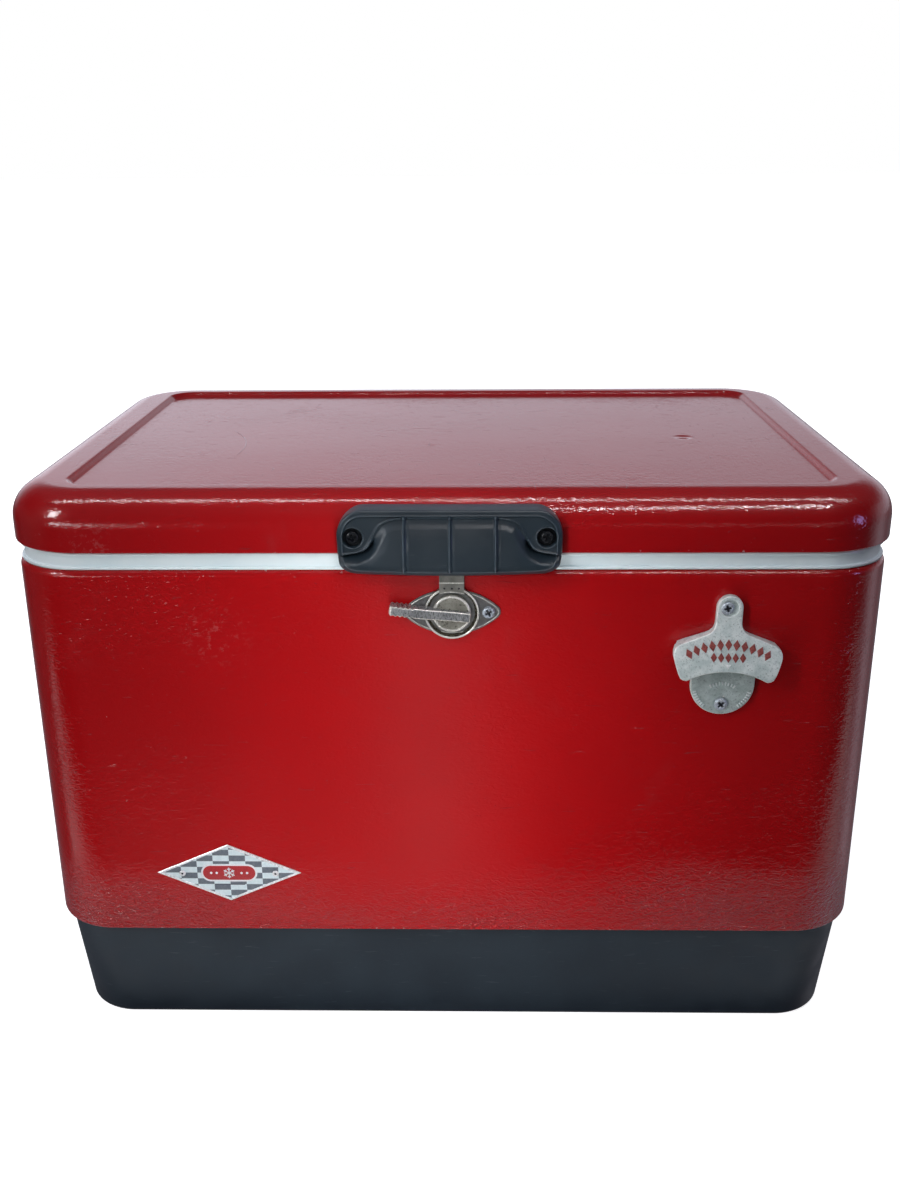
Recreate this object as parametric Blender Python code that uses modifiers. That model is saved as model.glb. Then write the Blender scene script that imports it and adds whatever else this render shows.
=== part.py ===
"""Steel-belted picnic cooler chest: hinged lid, turn latch, bail handles, drain and a bottle opener.

Units are metres, +Z is up and the front faces -Y. The origin is on the ground under the middle of
the body. Every piece of the real chest is an object of its own, and touching pieces keep a GAP.
"""

import math

import bmesh
import bpy
from mathutils import Matrix, Vector

MM = 0.001
GAP = 0.3 * MM

# Driving dimensions of the whole chest.
HEIGHT = 414 * MM
LID_HALF = Vector((300.5, 203)) * MM
BELT_INSET = Vector((2.2, 5)) * MM
CORNER = 58 * MM
CORNER_STEPS = 5

# Heights of the joins between the stacked shells, from the ground up.
BELT_LOW = 84 * MM
BELT_HIGH = 362 * MM
RIM_HIGH = 372.9 * MM
LID_LOW = 375.4 * MM

STEEL = 1 * MM
PLASTIC = 1.6 * MM
BASE_WALL = 3 * MM

# Lid.
LID_FILLET = 24 * MM
LID_HEM = 6 * MM
RECESS_HALF = Vector((260.5, 171.5)) * MM
RECESS_DEPTH = 3.5 * MM
RECESS_SLOPE = 3 * MM
RECESS_CORNER = 20 * MM

# Belt and base.
BELT_HALF = LID_HALF - BELT_INSET
BELT_CORNER = CORNER - 8 * MM
BELT_ROLL = 5 * MM
BELT_TOP_FLANGE = 9 * MM
BELT_HEM = 4.8 * MM
BASE_INSET = 5.3 * MM
BASE_DRAFT = math.tan(math.radians(4.9))
BASE_FILLET = 7 * MM
BASE_RIM = 94 * MM
BASE_CORNER = 41 * MM

# Tub inside the body, and its rim under the lid.
RIM_HALF = BELT_HALF - Vector((3.5, 3.5)) * MM
RIM_LEDGE = 2 * MM
TUB_HALF = Vector((264.5, 166.5)) * MM
TUB_CORNER = 32 * MM
TUB_LIP = 4 * MM
TUB_FLOOR = 62 * MM
TUB_TAPER = 10 * MM
TUB_FILLET = 20 * MM

# Grip on the front of the lid.
GRIP_X = 1 * MM
GRIP_HALF = 72.5 * MM
GRIP_LOW = 366 * MM
GRIP_HIGH = 407 * MM
GRIP_PAD_Y = -213 * MM
GRIP_FRONT_Y = -221 * MM
BELL_LOW = 364 * MM
GRIP_SCREW_X = 62.5 * MM
GRIP_SCREW_Z = 388.8 * MM

# Latch on the front of the belt.
LATCH = Vector((2 * MM, 0, 333.7 * MM))
LATCH_PLATE_HALF = Vector((32.5, 15.8)) * MM
CUP_RADIUS = 18.2 * MM
ROTOR_RADIUS = 12.8 * MM
LEVER_TILT = math.radians(6.5)
LEVER_REACH = 39.5 * MM
LEVER_HEIGHT = 7 * MM

# Bottle opener and badge on the front of the belt.
OPENER = Vector((183.6 * MM, 0, 302 * MM))
OPENER_SCREW_OFFSETS = (35.2 * MM, -34 * MM)
OPENER_PLATE = 3.2 * MM
OPENER_LEAN = math.radians(1.5)
BADGE = Vector((-160.3 * MM, 0, 132.5 * MM))
BADGE_HALF = Vector((52, 23)) * MM
BADGE_PIN_X = 33.7 * MM

# Bail handles on the two ends.
BAIL_PIVOT_Z = 302 * MM
BAIL_PIVOT_OUT = 5.8 * MM
BAIL_ARM_Y = 86 * MM
BAIL_DROP = 62 * MM
BAIL_ROD = 3 * MM
BAIL_GRIP_RADIUS = 9 * MM
BRACKET_Y = 68 * MM

# Hinges on the back.
HINGE_X = 190 * MM
HINGE_AXIS = Vector((0, 204.6, 369)) * MM
HINGE_HALF = 20 * MM
KNUCKLE_RADIUS = 3.2 * MM
PIN_RADIUS = 1.5 * MM

# Drain through the right end of the base.
DRAIN_Z = 70 * MM
DRAIN_BORE = 6.5 * MM
DRAIN_TUBE = 9 * MM

FRONT = -BELT_HALF.y
LID_FRONT = -LID_HALF.y
BACK = BELT_HALF.y


def clear_scene():
    for obj in list(bpy.data.objects):
        bpy.data.objects.remove(obj)


def new_collection(name):
    collection = bpy.data.collections.new(name)
    bpy.context.scene.collection.children.link(collection)
    return collection


clear_scene()
PARTS = new_collection("cooler_chest")
CUTTERS = new_collection("cutters")


def material(name, colour, roughness, metallic=0.0):
    made = bpy.data.materials.new(name)
    made.use_nodes = True
    made.diffuse_color = (*colour, 1)
    shader = made.node_tree.nodes["Principled BSDF"]
    shader.inputs["Base Color"].default_value = (*colour, 1)
    shader.inputs["Roughness"].default_value = roughness
    shader.inputs["Metallic"].default_value = metallic
    return made


RED_STEEL = material("red_enamelled_steel", (0.40, 0.006, 0.010), 0.25)
BLACK_PLASTIC = material("black_plastic", (0.022, 0.030, 0.038), 0.5)
WHITE_PLASTIC = material("white_plastic", (0.72, 0.78, 0.80), 0.4)
FOAM = material("insulating_foam", (0.80, 0.72, 0.48), 0.9)
STAINLESS = material("stainless_steel", (0.55, 0.55, 0.53), 0.3, 1.0)
CAST_ZINC = material("cast_zinc", (0.60, 0.63, 0.62), 0.45, 1.0)
BADGE_METAL = material("printed_badge", (0.45, 0.50, 0.52), 0.3, 0.8)
BLACK_STEEL = material("black_steel", (0.02, 0.02, 0.022), 0.3, 0.8)
SOFT_BLACK = material("black_rubber", (0.020, 0.021, 0.023), 0.7)


# ---------------------------------------------------------------- modelling helpers


def place(name, mesh, surface, smooth=35):
    """Puts a mesh in the model as a named piece, shaded smooth below the given edge angle."""
    obj = bpy.data.objects.new(name, mesh)
    PARTS.objects.link(obj)
    mesh.materials.clear()
    mesh.materials.append(surface)
    mesh.shade_smooth()
    mesh.set_sharp_from_angle(angle=math.radians(smooth))
    return obj


def as_mesh(bm, name):
    bmesh.ops.recalc_face_normals(bm, faces=bm.faces)
    mesh = bpy.data.meshes.new(name)
    bm.to_mesh(mesh)
    bm.free()
    return mesh


def cutter(name, mesh):
    obj = bpy.data.objects.new(name, mesh)
    CUTTERS.objects.link(obj)
    obj.hide_render = True
    obj.display_type = "WIRE"
    return obj


def boolean(obj, other, operation="DIFFERENCE"):
    modifier = obj.modifiers.new(operation.lower(), "BOOLEAN")
    modifier.operation = operation
    modifier.object = other


def thicken(obj, thickness):
    modifier = obj.modifiers.new("thickness", "SOLIDIFY")
    modifier.thickness = thickness
    modifier.offset = -1
    modifier.use_even_offset = True


def round_edges(obj, width, segments=2, angle=40):
    modifier = obj.modifiers.new("rounding", "BEVEL")
    modifier.width = width
    modifier.segments = segments
    modifier.limit_method = "ANGLE"
    modifier.angle_limit = math.radians(angle)


def rounded_rectangle(half, corner, z):
    """Points of a rounded rectangle at height z, counter-clockwise from the right side's front end."""
    points = []
    corner = max(corner, 0.5 * MM)
    for quarter, (sx, sy) in enumerate(((1, 1), (-1, 1), (-1, -1), (1, -1))):
        centre = Vector((sx * (half[0] - corner), sy * (half[1] - corner), z))
        for step in range(CORNER_STEPS + 1):
            angle = math.radians(90) * (quarter + step / CORNER_STEPS)
            points.append(centre + corner * Vector((math.cos(angle), math.sin(angle), 0)))
    return points


def loft(sections, fill_first=False, fill_last=False):
    """A skin over rounded rectangles, each given as (half sizes, corner radius, height)."""
    bm = bmesh.new()
    rings = [[bm.verts.new(p) for p in rounded_rectangle(*section)] for section in sections]
    for low, high in zip(rings, rings[1:]):
        for i in range(len(low)):
            j = (i + 1) % len(low)
            bm.faces.new((low[i], low[j], high[j], high[i]))
    if fill_first:
        bm.faces.new(rings[0][::-1])
    if fill_last:
        bm.faces.new(rings[-1])
    return bm


def skin(name, sections, thickness, surface, fill_first=False, fill_last=False):
    """An open lofted skin, thickened towards its inner side."""
    bm = loft(sections, fill_first, fill_last)
    mesh = bpy.data.meshes.new(name)
    bm.to_mesh(mesh)
    bm.free()
    obj = place(name, mesh, surface)
    thicken(obj, thickness)
    return obj


def arc(half, corner, z, radius, start, end, steps):
    """Sections of a rounded edge. At 0 degrees it is at the full half sizes, at 90 it is at height z."""
    level = z - radius if end > 0 or start > 0 else z + radius
    sections = []
    for step in range(steps + 1):
        angle = math.radians(start + (end - start) * step / steps)
        shrink = radius * (1 - math.cos(angle))
        size = half - Vector((shrink, shrink))
        sections.append((size, corner - shrink, level + radius * math.sin(angle)))
    return sections


def cylinder(radius, start, end, sides=16):
    """A closed cylinder between two points."""
    start, end = Vector(start), Vector(end)
    along = end - start
    turn = along.to_track_quat("Z", "Y").to_matrix().to_4x4()
    bm = bmesh.new()
    bmesh.ops.create_cone(
        bm,
        cap_ends=True,
        segments=sides,
        radius1=radius,
        radius2=radius,
        depth=along.length,
        matrix=Matrix.Translation((start + end) / 2) @ turn,
    )
    return bm


def box(low, high):
    low, high = Vector(low), Vector(high)
    bm = bmesh.new()
    sizes = Matrix.Diagonal((*(high - low), 1))
    bmesh.ops.create_cube(bm, size=1, matrix=Matrix.Translation((low + high) / 2) @ sizes)
    return bm


def outline_plate(points, near, far, name="outline"):
    """A flat plate with an outline of (x, z) points, between two Y values, from a filled 2D curve."""
    curve = bpy.data.curves.new(name, "CURVE")
    curve.dimensions = "2D"
    curve.fill_mode = "BOTH"
    curve.extrude = abs(far - near) / 2
    spline = curve.splines.new("POLY")
    spline.points.add(len(points) - 1)
    for point, (x, z) in zip(spline.points, points):
        point.co = (x, z, 0, 1)
    spline.use_cyclic_u = True
    holder = bpy.data.objects.new(name, curve)
    bpy.context.scene.collection.objects.link(holder)
    graph = bpy.context.evaluated_depsgraph_get()
    mesh = bpy.data.meshes.new_from_object(holder.evaluated_get(graph))
    bpy.data.objects.remove(holder)
    bm = bmesh.new()
    bm.from_mesh(mesh)
    bmesh.ops.remove_doubles(bm, verts=bm.verts, dist=0.001 * MM)
    upright = Matrix.Translation((0, (near + far) / 2, 0)) @ Matrix.Rotation(math.radians(90), 4, "X")
    bmesh.ops.transform(bm, matrix=upright, verts=bm.verts)
    return bm


def turned(name, profile, surface, location, direction, steps=10):
    """A turned piece: a profile of (radius, height) from top to bottom, its height along direction.

    A profile that doesn't start on the axis is a tube's wall, and closes on itself.
    """
    mesh = bpy.data.meshes.new(name)
    edges = [(i, i + 1) for i in range(len(profile) - 1)]
    if profile[0][0] > 0:
        edges.append((len(profile) - 1, 0))
    mesh.from_pydata([(radius, 0, height) for radius, height in profile], edges, [])
    obj = place(name, mesh, surface)
    modifier = obj.modifiers.new("turn", "SCREW")
    modifier.steps = steps
    modifier.render_steps = steps
    modifier.use_merge_vertices = True
    modifier.merge_threshold = 0.01 * MM
    obj.location = location
    obj.rotation_mode = "QUATERNION"
    obj.rotation_quaternion = Vector(direction).to_track_quat("Z", "Y")
    return obj


def pan_screw(name, location, direction, surface, head=4.3 * MM, shank=1.8 * MM, length=4 * MM):
    """A pan-head screw seated at location, its head standing out along direction."""
    rise = 0.6 * head
    profile = [(0, rise), (0.62 * head, 0.86 * rise), (head, 0.3 * rise), (head, 0)]
    profile += [(shank, 0), (shank, -length), (0, -length)]
    return turned(name, profile, surface, location, direction, steps=10)


def drill(bm_holes, location, direction, radius=2.2 * MM, depth=12 * MM):
    """Adds one hole cutter along direction to a mesh of cutters."""
    out = Vector(direction) * depth / 2
    hole = cylinder(radius, Vector(location) - out, Vector(location) + out, sides=10)
    mesh = as_mesh(hole, "hole")
    bm_holes.from_mesh(mesh)
    bpy.data.meshes.remove(mesh)


# ---------------------------------------------------------------- sections of the shells


def base_sections(inward=0.0):
    """Outside of the base tray from its floor up, or that skin moved inward."""
    foot = BELT_HALF - Vector((1, 1)) * (BASE_INSET + BASE_DRAFT * BELT_LOW + inward)
    sections = arc(foot, BASE_CORNER - inward, inward, BASE_FILLET - inward, -90, 0, 4)
    rim = foot + Vector((1, 1)) * BASE_DRAFT * (BASE_RIM - BASE_FILLET)
    return sections + [(rim, BASE_CORNER - inward, BASE_RIM)]


def tub_sections(outward=0.0):
    """Inside of the tub from the rim's top down to the floor, or that skin moved into the wall."""
    grow = Vector((1, 1)) * outward
    lip = TUB_LIP - outward
    sections = []
    for step in range(4):
        angle = math.radians(90 - 30 * step)
        back = TUB_LIP - lip * math.cos(angle)
        size = TUB_HALF + Vector((1, 1)) * back
        sections.append((size, TUB_CORNER + back, RIM_HIGH - TUB_LIP + lip * math.sin(angle)))
    foot = TUB_HALF - Vector((1, 1)) * TUB_TAPER + grow
    turn = TUB_FILLET + outward
    for step in range(5):
        angle = math.radians(90 * step / 4)
        shrink = turn * (1 - math.cos(angle))
        level = TUB_FLOOR + TUB_FILLET - turn * math.sin(angle)
        corner = TUB_CORNER - TUB_TAPER + outward
        sections.append((foot - Vector((1, 1)) * shrink, corner - shrink, level))
    return sections


def lid_sections(outward=0.0):
    """Outside of the lid from its bottom edge up to the flat border of its top."""
    half = LID_HALF + Vector((1, 1)) * outward
    corner = CORNER + outward
    radius = LID_FILLET + outward
    return [(half, corner, LID_LOW + 1.2 * MM)] + arc(half, corner, HEIGHT + outward, radius, 0, 90, 5)


# ---------------------------------------------------------------- body shells


def make_base():
    obj = skin("base_tray", base_sections(), BASE_WALL, BLACK_PLASTIC, fill_first=True)
    hole = cylinder(DRAIN_TUBE + GAP, (BELT_HALF.x - 40 * MM, 0, DRAIN_Z), (BELT_HALF.x, 0, DRAIN_Z))
    boolean(obj, cutter("base_drain_hole", as_mesh(hole, "base_drain_hole")))


def make_belt(holes):
    flat = Vector((1, 1))
    lower = arc(BELT_HALF, BELT_CORNER, BELT_LOW, 1.5 * MM, -90, 0, 2)
    upper = arc(BELT_HALF, BELT_CORNER, BELT_HIGH, BELT_ROLL, 0, 90, 3)
    hem = (BELT_HALF - flat * BELT_HEM, BASE_CORNER + 0.5 * MM, BELT_LOW)
    flange = (BELT_HALF - flat * BELT_TOP_FLANGE, BELT_CORNER - BELT_TOP_FLANGE, BELT_HIGH)
    obj = skin("steel_belt", [hem] + lower + upper + [flange], STEEL, RED_STEEL)
    boolean(obj, cutter("belt_screw_holes", holes))


def make_liner():
    ledge = RIM_HALF + Vector((1, 1)) * RIM_LEDGE
    corner = BELT_CORNER - 3.5 * MM
    step = BELT_HIGH + GAP
    sections = [
        (ledge, corner + RIM_LEDGE, step),
        (ledge, corner + RIM_LEDGE, step + RIM_LEDGE),
        (RIM_HALF, corner, step + RIM_LEDGE),
    ]
    sections += arc(RIM_HALF, corner, RIM_HIGH, 2 * MM, 0, 90, 2)
    obj = skin("inner_liner", sections + tub_sections(), PLASTIC, WHITE_PLASTIC, fill_last=True)
    start = (TUB_HALF.x - TUB_TAPER - TUB_FILLET - 6 * MM, 0, DRAIN_Z)
    hole = cylinder(DRAIN_TUBE + GAP, start, (BELT_HALF.x, 0, DRAIN_Z))
    boolean(obj, cutter("liner_drain_hole", as_mesh(hole, "liner_drain_hole")))


def make_body_foam():
    """Rigid foam that fills the space between the tub, the base and the belt."""
    slack = 0.5 * MM
    behind = 2.6 * MM
    inner = BELT_HALF - Vector((1, 1)) * (STEEL + behind)
    corner = BELT_CORNER - STEEL - behind
    under_roll = BELT_HIGH - BELT_ROLL - 2 * MM
    ceiling = RIM_HIGH - PLASTIC - slack
    sections = base_sections(BASE_WALL + slack)
    sections += [(sections[-1][0], sections[-1][1], BASE_RIM + slack)]
    sections += [(inner, corner, BASE_RIM + slack), (inner, corner, under_roll)]
    flange_clear = BELT_HALF - Vector((1, 1)) * (BELT_TOP_FLANGE + slack)
    sections += [(flange_clear, corner - 6 * MM, under_roll), (flange_clear, corner - 6 * MM, ceiling)]
    sections += tub_sections(PLASTIC + slack)
    mesh = as_mesh(loft(sections, fill_first=True, fill_last=True), "body_foam")
    obj = place("body_foam", mesh, FOAM)
    hole = cylinder(DRAIN_TUBE + GAP, (TUB_HALF.x - 60 * MM, 0, DRAIN_Z), (BELT_HALF.x, 0, DRAIN_Z))
    boolean(obj, cutter("foam_drain_hole", as_mesh(hole, "foam_drain_hole")))


# ---------------------------------------------------------------- lid


def make_lid_shell(holes):
    flat = Vector((1, 1))
    hem = [
        (LID_HALF - flat * LID_HEM, CORNER - LID_HEM, LID_LOW),
        (LID_HALF - flat * 1.2 * MM, CORNER - 1.2 * MM, LID_LOW),
    ]
    floor = HEIGHT - RECESS_DEPTH
    recess = [
        (RECESS_HALF, RECESS_CORNER, HEIGHT),
        (RECESS_HALF - flat * RECESS_SLOPE, RECESS_CORNER - RECESS_SLOPE, floor),
    ]
    obj = skin("lid_shell", hem + lid_sections() + recess, STEEL, RED_STEEL, fill_last=True)
    boolean(obj, cutter("lid_screw_holes", holes))


def make_lid_liner():
    flat = Vector((1, 1))
    edge = LID_HALF - flat * 2.5 * MM
    under = RIM_HIGH + GAP
    plug = TUB_HALF - flat * 6 * MM
    sections = [
        (edge, CORNER - 2.5 * MM, LID_LOW - GAP),
        (edge, CORNER - 2.5 * MM, under),
        (plug, TUB_CORNER - 4 * MM, under),
    ]
    sections += arc(plug, TUB_CORNER - 4 * MM, under - 11 * MM, 4 * MM, 0, -90, 2)
    bm = loft(sections, fill_last=True)
    bmesh.ops.reverse_faces(bm, faces=bm.faces)
    mesh = bpy.data.meshes.new("lid_liner")
    bm.to_mesh(mesh)
    bm.free()
    thicken(place("lid_liner", mesh, WHITE_PLASTIC), PLASTIC)


def make_lid_foam():
    flat = Vector((1, 1))
    slab = LID_HALF - flat * 10 * MM
    plug = TUB_HALF - flat * 9 * MM
    low = LID_LOW + STEEL + GAP
    sections = [
        (plug, TUB_CORNER - 8 * MM, RIM_HIGH - 8 * MM),
        (plug, TUB_CORNER - 8 * MM, low),
        (slab, CORNER - 10 * MM, low),
    ]
    sections += arc(slab, CORNER - 10 * MM, HEIGHT - RECESS_DEPTH - 1.6 * MM, 16 * MM, 0, 90, 3)
    place("lid_foam", as_mesh(loft(sections, fill_first=True, fill_last=True), "lid_foam"), FOAM)


def corner_arc(centre, radius, start, end, steps):
    """Points of a circular arc in the (x, z) plane, by angle in degrees."""
    points = []
    for step in range(steps + 1):
        angle = math.radians(start + (end - start) * step / steps)
        points.append((centre[0] + radius * math.cos(angle), centre[1] + radius * math.sin(angle)))
    return points


def smooth_step(t):
    t = min(1.0, max(0.0, t))
    return t * t * (3 - 2 * t)


def grip_outline():
    top, bottom = 17 * MM, 17 * MM
    right, left = GRIP_X + GRIP_HALF, GRIP_X - GRIP_HALF
    points = corner_arc((right - top, GRIP_HIGH - top), top, 0, 90, 5)
    points += corner_arc((left + top, GRIP_HIGH - top), top, 90, 180, 5)
    points += corner_arc((left + bottom, GRIP_LOW + bottom), bottom, 180, 270, 4)
    points += corner_arc((right - bottom, GRIP_LOW + bottom), bottom, 270, 360, 4)
    return points


def bell_outline():
    """The finger pull on the grip: narrow under the top edge, flaring to the full width below."""
    steps = 8
    narrow, wide = 36 * MM, GRIP_HALF - 3 * MM
    high, shoulder, low = GRIP_HIGH - 3 * MM, 376 * MM, BELL_LOW
    sides = []
    for step in range(steps + 1):
        t = step / steps
        sides.append((narrow + (wide - narrow) * smooth_step(t), high + (shoulder - high) * t))
    foot = corner_arc((wide - 10 * MM, low + 10 * MM), 10 * MM, 0, -90, 3)
    right = [(GRIP_X + x, z) for x, z in sides + foot]
    left = [(2 * GRIP_X - x, z) for x, z in reversed(right)]
    return right + left


def make_grip():
    mesh = as_mesh(outline_plate(grip_outline(), LID_FRONT + 14 * MM, GRIP_PAD_Y), "lid_grip")
    obj = place("lid_grip", mesh, BLACK_PLASTIC)
    bell = as_mesh(outline_plate(bell_outline(), GRIP_PAD_Y + 3 * MM, GRIP_FRONT_Y), "grip_bell")
    boolean(obj, cutter("grip_bell", bell), "UNION")
    lid = as_mesh(loft(lid_block(), fill_first=True, fill_last=True), "lid_clearance")
    boolean(obj, cutter("lid_clearance", lid))
    for label, half, front in (("wide_pocket", 54 * MM, GRIP_PAD_Y), ("deep_pocket", 33 * MM, GRIP_FRONT_Y)):
        low = (GRIP_X - half, front + 3 * MM, BELL_LOW - 10 * MM)
        high = (GRIP_X + half, LID_FRONT + 20 * MM, 393 * MM)
        boolean(obj, cutter(label, as_mesh(box(low, high), label)))
    bores = (("grip_screw_wells", 6 * MM, 6 * MM), ("grip_screw_holes", 2.2 * MM, 30 * MM))
    for label, radius, depth in bores:
        holes = bmesh.new()
        for side in (-1, 1):
            at = Vector((GRIP_X + side * GRIP_SCREW_X, GRIP_PAD_Y, GRIP_SCREW_Z))
            drill(holes, at, (0, 1, 0), radius, depth)
        boolean(obj, cutter(label, as_mesh(holes, label)))
    for side, name in ((-1, "left"), (1, "right")):
        seat = (GRIP_X + side * GRIP_SCREW_X, GRIP_PAD_Y + 3 * MM - GAP, GRIP_SCREW_Z)
        pan_screw(f"grip_screw_{name}", seat, (0, -1, 0), BLACK_STEEL, length=8.5 * MM)


def lid_block():
    """The lid's outside as one closed body a GAP larger, to shape what is fitted against it."""
    sections = lid_sections(GAP)
    return [(sections[0][0], sections[0][1], LID_LOW - 30 * MM)] + sections


# ---------------------------------------------------------------- latch


def make_strike():
    """The steel tongue that hangs from the lid behind the grip, with a shallow arch over the rotor."""
    half, high, sag = 8.2 * MM, 391 * MM, 1.2 * MM
    low = LATCH.z + ROTOR_RADIUS + 1.2 * MM
    radius = (half**2 + sag**2) / (2 * sag)
    edge = math.degrees(math.asin(half / radius))
    foot = corner_arc((LATCH.x, low + sag - radius), radius, 90 + edge, 90 - edge, 6)
    points = foot + [(LATCH.x + half, high), (LATCH.x - half, high)]
    near, far = LID_FRONT - GAP, LID_FRONT - GAP - 1.5 * MM
    mesh = as_mesh(outline_plate(points, near, far), "strike_tongue")
    obj = place("strike_tongue", mesh, STAINLESS)
    holes = bmesh.new()
    for side, name in ((-1, "left"), (1, "right")):
        at = Vector((LATCH.x + side * 4 * MM, LID_FRONT, 385 * MM))
        drill(holes, at, (0, 1, 0), radius=1.6 * MM)
        seat = at + Vector((0, -1.8 * MM - GAP, 0))
        pan_screw(f"strike_rivet_{name}", seat, (0, -1, 0), STAINLESS, 2.8 * MM, 1.2 * MM, 4 * MM)
    boolean(obj, cutter("strike_rivet_holes", as_mesh(holes, "strike_rivet_holes")))


def lens_outline(half, tip, steps=8):
    """A lens: two shallow arcs that meet in rounded tips, centred on the latch."""
    reach = half.x - tip
    radius = (reach**2 + (half.y - tip) ** 2) / (2 * (half.y - tip)) + tip
    drop = radius - half.y
    spread = math.degrees(math.asin(reach / (radius - tip)))
    x, z = LATCH.x, LATCH.z
    points = corner_arc((x, z - drop), radius, 90 - spread, 90 + spread, steps)
    points += corner_arc((x - reach, z), tip, 90 + spread, 270 - spread, 3)[1:-1]
    points += corner_arc((x, z + drop), radius, 270 - spread, 270 + spread, steps)
    points += corner_arc((x + reach, z), tip, 270 + spread, 450 - spread, 3)[1:-1]
    return points


def make_latch():
    plate_back, plate_front = FRONT - GAP, FRONT - GAP - 1.5 * MM
    mesh = as_mesh(outline_plate(lens_outline(LATCH_PLATE_HALF, 5 * MM), plate_back, plate_front), "plate")
    plate = place("latch_plate", mesh, STAINLESS)
    axis = Vector((LATCH.x, 0, LATCH.z))
    y = Vector((0, 1, 0))
    cup_front, cup_floor = FRONT - 4.6 * MM, FRONT - 1.4 * MM
    cup = cylinder(CUP_RADIUS, axis + y * plate_back, axis + y * cup_front, sides=28)
    boolean(plate, cutter("latch_cup", as_mesh(cup, "latch_cup")), "UNION")
    well = cylinder(CUP_RADIUS - 1.6 * MM, axis + y * cup_floor, axis + y * (cup_front - 5 * MM), sides=28)
    boolean(plate, cutter("latch_cup_well", as_mesh(well, "latch_cup_well")))
    holes = bmesh.new()
    drill(holes, axis + y * FRONT, (0, 1, 0), radius=3.3 * MM)
    for side, name in ((-1, "left"), (1, "right")):
        at = Vector((LATCH.x + side * 24.3 * MM, plate_front, LATCH.z))
        drill(holes, at, (0, 1, 0))
        pan_screw(f"latch_screw_{name}", at - y * GAP, (0, -1, 0), STAINLESS, 4.2 * MM)
    boolean(plate, cutter("latch_plate_holes", as_mesh(holes, "latch_plate_holes")))
    make_rotor(axis, cup_floor)
    make_lever(axis)


def make_rotor(axis, cup_floor):
    """The turning disc in the cup, on a stub that passes through the plate."""
    rise = 4.6 * MM
    foot = -cup_floor + FRONT + GAP
    profile = [
        (0, rise),
        (ROTOR_RADIUS - 0.8 * MM, rise),
        (ROTOR_RADIUS, rise - 0.8 * MM),
        (ROTOR_RADIUS, 0),
        (3 * MM, 0),
        (3 * MM, -foot - 1.2 * MM),
        (0, -foot - 1.2 * MM),
    ]
    at = axis + Vector((0, cup_floor - GAP, 0))
    turned("latch_rotor", profile, STAINLESS, at, (0, -1, 0), steps=28)


def make_lever(axis):
    """The lever across the rotor: a thin root, and a deep finger end with cross grooves."""
    rotor_face = FRONT - 1.4 * MM - GAP - 4.6 * MM
    root, waist, deep = rotor_face - GAP, rotor_face + 1.6 * MM, FRONT - 2.6 * MM
    front_root, front_end = root - 4.4 * MM, root - 6.5 * MM
    reach = LEVER_REACH
    side = [
        (12.2 * MM, root),
        (-13.2 * MM, root),
        (-14.5 * MM, waist),
        (-26.5 * MM, waist),
        (-28.5 * MM, deep),
        (-reach, deep),
        (-reach - 2 * MM, deep - 3 * MM),
        (-reach - 2 * MM, front_end + 2 * MM),
        (-reach, front_end),
        (-24 * MM, front_end),
        (4 * MM, front_root),
        (12.2 * MM, front_root),
    ]
    bm = outline_plate(side, -LEVER_HEIGHT / 2, LEVER_HEIGHT / 2)
    # The side view was drawn upright: lay it down so that its second coordinate runs along Y.
    bmesh.ops.transform(bm, matrix=Matrix.Rotation(math.radians(-90), 4, "X"), verts=bm.verts)
    lever = place("latch_lever", as_mesh(bm, "latch_lever"), STAINLESS)
    grooves = bmesh.new()
    for step in range(4):
        for face in (-1, 1):
            at = Vector((2.6 * MM - LEVER_REACH + step * 4 * MM, 0, face * (LEVER_HEIGHT / 2 + 1.1 * MM)))
            drill(grooves, at, (0, 1, 0), radius=1.9 * MM, depth=500 * MM)
    groove_cutter = cutter("lever_grooves", as_mesh(grooves, "lever_grooves"))
    boolean(lever, groove_cutter)
    tilt = Matrix.Translation(axis) @ Matrix.Rotation(LEVER_TILT, 4, "Y")
    lever.matrix_world = tilt
    groove_cutter.matrix_world = tilt


# ---------------------------------------------------------------- opener and badge


def lean(points):
    """The opener hangs a little crooked: its points turn about the lower screw."""
    pivot = Vector((OPENER.x, OPENER.z + OPENER_SCREW_OFFSETS[1]))
    turn = Matrix.Rotation(OPENER_LEAN, 2)
    return [tuple(pivot + turn @ (Vector(point) - pivot)) for point in points]


def opener_plate_outline():
    """Back plate: a round-topped tab above, a wide round foot below."""
    x, z = OPENER.x, OPENER.z
    tab, foot = 8.8 * MM, 21.8 * MM
    points = corner_arc((x, z + 44 * MM - tab), tab, 0, 180, 7)
    points += [(x - tab, z + 14 * MM), (x - foot, z)]
    points += corner_arc((x, z - 42 * MM + foot), foot, 180, 360, 12)
    points += [(x + foot, z), (x + tab, z + 14 * MM)]
    return lean(points)


def opener_hood_outline():
    """Front view of the cast face: the tab, sloping shoulders, wings and an arched mouth."""
    x, z = OPENER.x, OPENER.z
    tab = 8.8 * MM
    top = corner_arc((0, 44 * MM - tab), tab, 0, 90, 4)
    right = [(8.8, 24), (10.5, 20), (13.5, 17.5), (24, 13.8), (33, 10.6), (36, 7.4), (36.3, 3.5)]
    right += [(32, -9.5), (29.5, -12.2), (26.5, -12.7)]
    right = [(px * MM, pz * MM) for px, pz in right]
    mouth_radius, mouth_rise = 55 * MM, 6 * MM
    spread = math.degrees(math.asin(25.5 * MM / mouth_radius))
    arch = corner_arc((0, -mouth_rise - mouth_radius), mouth_radius, 90 - spread, 90, 4)
    half = top[::-1] + right + arch
    other = [(-px, pz) for px, pz in half[-2:0:-1]]
    return lean([(x + px, z + pz) for px, pz in half + other])


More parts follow.
